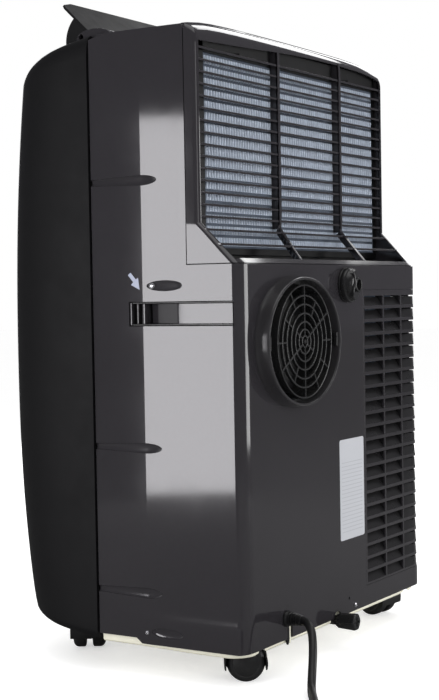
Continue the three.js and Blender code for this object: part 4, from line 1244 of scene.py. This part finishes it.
# ------------------------------------------------------------------ handle inserts, side print, screws
def make_sides():
    for s, side in ((1, "right"), (-1, "left")):
        node = side + "_handle_cup"
        t = Mesh()
        # scoop floor: flush at the rear, running deep towards the front
        prof = [(178.9, 231.3), (178.9, 227.6), (108, 226.4), (66, 213.2), (44.2, 209.2), (44.2, 212.2), (63.0, 214.4), (67.5, 222.2), (86, 226.6), (96, 229.0), (105.5, 231.3), (109.5, 231.9), (140, 231.9), (168, 231.6)]
        t.prism([(x, y) for y, x in prof], lambda u, v, w: (s * u, v, w), 361.6, 384.0)
        x0, x1 = sorted((s * 209.4, s * 232.3))
        t.box(x0, x1, 43.9, 46.6, 360.2, 385.4)
        for y0, y1, xx in ((52.6, 55.0, 231.4), (60.2, 64.2, 231.9)):
            xa, xb = sorted((s * 210, s * xx))
            t.box(xa, xb, y0, y1, 361.6, 384.0)
        o = soften(t.object("handle_insert_" + side), 0.5, 2, 26)
        dress(o, "gloss_grey", replaces=node)
        t = Mesh()
        xa, xb = sorted((s * 207.5, s * 231.2))
        t.box(xa, xb, 44.2, 178.6, 359.9, 361.2).box(xa, xb, 44.2, 178.6, 384.4, 385.7)
        o = soften(t.object("handle_walls_" + side), 0.3, 1)
        dress(o, "duct_black")
        # printed arrow that points down to the handle
        shape = [(42.6, 416.6), (46.2, 419.4), (53.4, 411.4), (56.2, 413.6), (58.2, 400.0), (46.6, 405.6), (49.8, 408.6)]
        t = Mesh().prism(shape, lambda u, v, w: (s * w, u, v), 232.8, 233.12)
        o = soften(t.object("handle_arrow_" + side), 0, weighted=False)
        dress(o, "print_white")

    def screw(name, axis, at, r, s, mat, replaces=()):
        """Pan head with a cross recess."""
        prof = [(0.01, -8), (r * 0.45, -8), (r * 0.45, 0), (r, 0), (r, r * 0.22), (r * 0.86, r * 0.42), (r * 0.5, r * 0.56), (0.01, r * 0.6)]
        if axis == "x":
            prof = [(p, s * h) for p, h in prof]
        o = Mesh().disc(axis, at, prof, 28).object(name)
        w = r * 0.16
        t = Mesh()
        h = r * 0.3
        if axis == "x":
            a, b = sorted((at[0] + s * h, at[0] + s * 6))
            t.box(a, b, at[1] - r * 0.55, at[1] + r * 0.55, at[2] - w, at[2] + w)
            boolean(o, t.object("tool"))
            t = Mesh().box(a, b, at[1] - w, at[1] + w, at[2] - r * 0.55, at[2] + r * 0.55)
        else:
            t.box(at[0] - r * 0.55, at[0] + r * 0.55, at[1] + h, at[1] + 6, at[2] - w, at[2] + w)
            boolean(o, t.object("tool"))
            t = Mesh().box(at[0] - w, at[0] + w, at[1] + h, at[1] + 6, at[2] - r * 0.55, at[2] + r * 0.55)
        boolean(o, t.object("tool"))
        soften(o, 0.15, 1, 30)
        dress(o, mat, replaces=replaces)

    screw("screw_pocket_right", "x", (231.0, 73.6, 404), 4.2, 1, "screw_steel", "pocket_screw")
    screw("screw_pocket_left", "x", (-231.0, 73.6, 404), 4.2, -1, "screw_steel")
    screw("screw_base_right", "x", (233.0, 60, 13), 2.6, 1, "screw_steel", "base_screw")
    screw("screw_base_left", "x", (-233.0, 60, 13), 2.6, -1, "screw_steel")
    screw("screw_rear", "y", (-34, 188.05, 7), 3.3, 1, "screw_steel", "rear_screw")


make_sides()


# ------------------------------------------------------------------ label
def make_label():
    # rounded corners, and it follows the face
    x0, x1, z0, z1, r = -62, 3, 91, 214, 3.0
    out = []
    for cx, cz, a in ((x1 - r, z1 - r, 0), (x0 + r, z1 - r, 90), (x0 + r, z0 + r, 180), (x1 - r, z0 + r, 270)):
        for i in range(5):
            t = rad(a + 22.5 * i)
            out.append((cx + r * math.cos(t), cz + r * math.sin(t)))
    t = Mesh().prism(out, alongY, 188.05, 188.42)
    o = soften(t.object("label_blank"), 0, weighted=False)
    dress(o, "label_white", replaces="rating_label")


make_label()


# ------------------------------------------------------------------ base pan
CASTERS = [("rear_right", 190, 151, 122.2), ("front_right", 149.5, -84.7, 212.2), ("rear_left", -190, 151, 262), ("front_left", -149.5, -84.7, 300)]


def make_pan():
    def ring(z, ins, r=24.0):
        w, y = 231.0 - ins, 187.0 - ins
        half = [(w, -6.0), (w, 40.0), (w, 120.0)]
        for i in range(9):
            t = math.pi / 2 * i / 8
            half.append((w - r + r * math.cos(t), y - r + r * math.sin(t)))
        return [(a, b, z) for a, b in half] + [(-a, b, z) for a, b in reversed(half)]

    def sag(p):
        x, y, z = p
        return (x, y, z - 2.2 * smooth(10, 120, y)) if z < -1 else p

    levels = [(-5.8, 22), (-5.6, 13), (-4.9, 8), (-3.8, 4.8), (-1.8, 3.2), (3, 2.8), (15.5, 2.8)]
    rings = [[sag(p) for p in ring(z, i)] for z, i in levels]
    t = Mesh().loft(rings)
    o = t.object("base_pan_tray")
    tool = Mesh()
    for _, x, y, _ in CASTERS:
        if y > 0:
            tool.disc("z", (x, y, 0), [(33.6, -30), (33.6, 9.4)], 40)
    tool.disc("y", (13, 0, -3), [(10.9, 150), (10.9, 205)], 32)
    tool.disc("y", (-34, 0, 7), [(2.2, 150), (2.2, 205)], 16)
    tool.box(126.4, 139.2, 181.5, 200, -12, 15)
    boolean(o, tool.object("tool"))
    tool = Mesh().box(-206, 206, 12, 122, 5, 30).box(-260, 260, -20, -5.2, -20, 30)
    boolean(o, tool.object("tool"))
    soften(o, 0.6, 2, 34)
    dress(o, "cream", replaces="base_pan")
    t = Mesh().prism([(195, -5.4), (195, -80), (155, -120), (-155, -120), (-195, -80), (-195, -5.4)], alongZ, 0.6, 15.5)
    o = t.object("base_pan_front")
    tool = Mesh()
    for _, x, y, _ in CASTERS:
        if y < 0:
            tool.disc("z", (x, y, 0), [(33.6, -30), (33.6, 9.4)], 40)
    boolean(o, tool.object("tool"))
    soften(o, 0.8, 2, 34)
    dress(o, "cream")
    # cord notch: pale inner wall and a dark tab
    t = Mesh().box(129.6, 132.2, 181.0, 187.2, -6.5, 15.5)
    o = soften(t.object("cord_notch_wall"), 0.4, 2)
    dress(o, "cream")
    t = Mesh().prism([(132.6, 15.4), (138.8, 15.4), (138.8, -1.5), (135.4, -7.6), (132.6, -1.0)], alongY, 184.6, 187.6)
    o = soften(t.object("cord_notch_tab"), 0.4, 2)
    dress(o, "duct_black")
    # ribs seen from below
    t = Mesh()
    for y in (20, 60, 100):
        t.box(-150, 150, y - 1.2, y + 1.2, -3.4, 5.2)
    for x in (-120, -60, 0, 60, 120):
        t.box(x - 1.2, x + 1.2, 6, 134, -3.2, 5.2)
    o = soften(t.object("base_pan_ribs"), 0.4, 1)
    dress(o, "cream")


make_pan()


# ------------------------------------------------------------------ outlet flap, panel, vanes
HINGE = (-25.0, 691.0)


def swing(p, deg=-43.5):
    x, y, z = p
    a = rad(deg)
    dy, dz = y - HINGE[0], z - HINGE[1]
    return (x, HINGE[0] + dy * math.cos(a) - dz * math.sin(a), HINGE[1] + dy * math.sin(a) + dz * math.cos(a))


def make_flap():
    fy, fz, half, chord = HINGE[0], HINGE[1], 200.0, 69.0
    # plate: flat in plan, with cut corners at both ends
    outline = [(-half, fy + 1.5), (-half, fy - chord + 12), (-half + 3, fy - chord + 6.5), (-half + 22, fy - chord)]
    n = 20
    for i in range(1, n):
        u = i / n
        outline.append((lerp(-half + 22, half - 22, u), fy - chord - 0.0 * math.sin(math.pi * u)))
    outline += [(half - 22, fy - chord), (half - 3, fy - chord + 6.5), (half, fy - chord + 12), (half, fy + 1.5)]
    bot = [swing((x, y, fz + 1.4)) for x, y in outline]
    top = [swing((x, y, fz + 4.4)) for x, y in outline]
    t = Mesh().loft([bot, top])
    # stiffening ribs under the plate
    o = t.object("flap_plate")
    soften(o, 1.0, 3, 25)
    dress(o, "matte_black", "flap", replaces="outlet_flap")
    t = Mesh()
    for s in (1, -1):
        arc = [(fy + 2, fz + 1.9), (fy - 38.4, fz + 1.9)]
        for i in range(15):
            a = rad(183 + 43 * i / 14)
            arc.append((fy + 38.5 * math.cos(a), fz + 38.5 * math.sin(a)))
        arc.append((fy + 2, fz - 3))
        r0 = [swing((s * 196.4, y, z)) for y, z in arc]
        r1 = [swing((s * 199.4, y, z)) for y, z in arc]
        t.loft([r0, r1])
    for x in (-120, -40, 40, 120):
        q = [(fy - 4, fz + 1.9), (fy - 58, fz + 1.9), (fy - 30, fz - 3.5), (fy - 4, fz - 3.2)]
        t.loft([[swing((x - 1, y, z)) for y, z in q], [swing((x + 1, y, z)) for y, z in q]])
    t.disc("x", (0, fy, fz), [(0.01, -213), (3.0, -213), (3.0, -200), (3.6, -199.6), (3.6, 199.6), (3.0, 200), (3.0, 213), (0.01, 213)], 24)
    o = soften(t.object("flap_cheeks_and_rod"), 0.5, 2, 34)
    dress(o, "matte_black", "flap")


make_flap()


def make_panel():
    """Control panel let into the sloping front top."""
    py = -135.0
    pz = 690 - 0.17 * (-8 - py)
    a = math.atan(0.17)

    def tilt(x, y, z):
        dy, dz = y - py, z - pz
        return (x, py + dy * math.cos(a) - dz * math.sin(a), pz + dy * math.sin(a) + dz * math.cos(a))

    def rounded(x0, x1, y0, y1, r, k=6):
        out = []
        for cx, cy, s0 in ((x1 - r, y1 - r, 0), (x0 + r, y1 - r, 90), (x0 + r, y0 + r, 180), (x1 - r, y0 + r, 270)):
            for i in range(k + 1):
                t = rad(s0 + 90 * i / k)
                out.append((cx + r * math.cos(t), cy + r * math.sin(t)))
        return out

    out = rounded(-95.2, 95.2, py - 22.2, py + 22.2, 5)
    o = Mesh().loft([[tilt(x, y, pz - 4) for x, y in out], [tilt(x, y, pz - 0.1) for x, y in out]]).object("panel_plate")
    tool = Mesh()
    for x in (-72, -48, 24, 48, 72):
        ring = [(x + 7.4 * math.cos(2 * math.pi * i / 28), py + 7.4 * math.sin(2 * math.pi * i / 28)) for i in range(28)]
        tool.loft([[tilt(p, q, pz - 12) for p, q in ring], [tilt(p, q, pz + 12) for p, q in ring]])
    w = rounded(-30.6, 8.6, py - 12.6, py + 12.6, 2.5)
    tool.loft([[tilt(p, q, pz - 2.4) for p, q in w], [tilt(p, q, pz + 12) for p, q in w]])
    boolean(o, tool.object("tool"))
    soften(o, 0.4, 2, 30)
    dress(o, "duct_black", replaces="control_panel")
    w = rounded(-30.2, 8.2, py - 12.2, py + 12.2, 2.3)
    o = Mesh().loft([[tilt(p, q, pz - 2.0) for p, q in w], [tilt(p, q, pz + 0.1) for p, q in w]]).object("panel_window")
    soften(o, 0.35, 2, 30)
    dress(o, "display", replaces="display_window")
    for k, x in zip(("power", "mode", "down", "up", "timer"), (-72, -48, 24, 48, 72)):
        rings = []
        for r, h in ((2.2, -7), (2.2, -4.4), (6.8, -4.4), (6.8, 1.0), (6.3, 1.6), (5.2, 1.9), (3.4, 1.7), (1.6, 1.5)):
            rings.append([tilt(x + r * math.cos(2 * math.pi * i / 32), py + r * math.sin(2 * math.pi * i / 32), pz + h) for i in range(32)])
        o = Mesh().loft(rings).object("key_cap_" + k)
        soften(o, 0.0)
        dress(o, "key_grey", "key_" + k, replaces="button_" + k)


make_panel()


def make_outlet():
    """Vanes with rounded edges."""
    for i, x in enumerate((-140, -70, 0, 70, 140), 1):
        out = []
        for k in range(9):
            a = math.pi * k / 8
            out.append((x + 1.2 * math.cos(a), -35.2 + 1.2 * math.sin(a)))
        out += [(x - 1.0, -50), (x - 0.5, -73.6), (x + 0.5, -73.6), (x + 1.0, -50)]
        t = Mesh().prism(out, alongZ, 622, 658)
        t.disc("z", (x, -50, 0), [(0.01, 592), (2.6, 592), (2.6, 657.6), (0.01, 657.6)], 20)
        t.disc("z", (x, -70, 0), [(0.01, 611), (1.6, 611), (1.6, 624), (0.01, 624)], 16)
        o = soften(t.object(f"vane_blade_{i}"), 0.2, 1)
        dress(o, "vane_black", f"vane_{i}", replaces=f"vane_{i}")


make_outlet()


# ------------------------------------------------------------------ casters
def make_casters():
    R, Z, TRAIL = 21.4, 21.4 - 38, 10.0
    for name, sx, sy, yaw in CASTERS:
        a = rad(yaw)
        ca, sa = math.cos(a), math.sin(a)

        def put(x, y, z):
            return (sx + x * ca - y * sa, sy + x * sa + y * ca, z)

        # hood: centre plate between the wheels and a cover over their upper half
        t = Mesh()
        seg = 28
        pts = [(TRAIL + 23.2 * math.cos(2 * math.pi * i / seg), Z + 23.2 * math.sin(2 * math.pi * i / seg)) for i in range(seg)]
        pts = [(x, max(z, Z - 8.0)) for x, z in pts]
        clean = []
        for p in pts:
            if not clean or (abs(p[0] - clean[-1][0]) + abs(p[1] - clean[-1][1])) > 0.05:
                clean.append(p)
        t.loft([[put(x, -3.4, z) for x, z in clean], [put(x, 3.4, z) for x, z in clean]])
        for a0 in (-17.0, 161.0):
            arc = [a0 + 36 * i / 8 for i in range(9)]
            outer = [(TRAIL + 24.5 * math.cos(rad(q)), Z + 24.5 * math.sin(rad(q))) for q in arc]
            inner = [(TRAIL + 22.7 * math.cos(rad(q)), Z + 22.7 * math.sin(rad(q))) for q in reversed(arc)]
            prof = outer + inner
            t.loft([[put(x, -22.3, z) for x, z in prof], [put(x, 22.3, z) for x, z in prof]])
        ring = lambda r, z: [put(r * math.cos(2 * math.pi * i / 32), r * math.sin(2 * math.pi * i / 32), z) for i in range(32)]
        t.loft([ring(12.4, 5.4), ring(13, 5.9), ring(13, 8.3), ring(4.8, 8.4), ring(4.8, 14.6), ring(4.0, 15.2)])
        o = soften(t.object("caster_cover_" + name), 0.5, 2, 30)
        dress(o, "caster_black", "caster_" + name, replaces="caster_hood_" + name)
        t = Mesh()
        for s in (1, -1):
            prof = [(3.9, 4.4), (19.6, 4.4), (20.9, 5.0), (21.4, 6.4), (21.4, 13.2), (21.0, 15.4), (19.9, 17.2), (17.8, 18.8), (15.6, 19.4), (14.6, 18.9), (13.4, 19.5), (9.4, 21.2), (5.0, 22.0), (0.02, 22.3)]
            rings = []
            for r, h in prof:
                rings.append([put(TRAIL + r * math.cos(2 * math.pi * i / 48), s * h, Z + r * math.sin(2 * math.pi * i / 48)) for i in range(48)])
            t.loft(rings)
        rings = [[put(TRAIL + 3.9 * math.cos(2 * math.pi * i / 24), y, Z + 3.9 * math.sin(2 * math.pi * i / 24)) for i in range(24)] for y in (-6, 6)]
        t.loft(rings)
        o = soften(t.object("caster_tyre_" + name), 0.0)
        dress(o, "caster_wheel", "wheel_" + name, replaces="caster_wheel_" + name)


make_casters()


# ------------------------------------------------------------------ inner parts that show little: softened edges
for node in ("flap_motor", "vane_link", "outlet_duct", "compressor", "refrigerant_pipe", "evaporator_blower", "condenser_blower", "evaporator_scroll",
             "condenser_scroll", "evaporator_motor", "condenser_motor", "drain_tray", "control_board", "plug_test_button", "plug_reset_button"):
    o = frame["nodes"][node]
    for p in o.data.polygons:
        p.use_smooth = True
    o.data.set_sharp_from_angle(angle=rad(38))
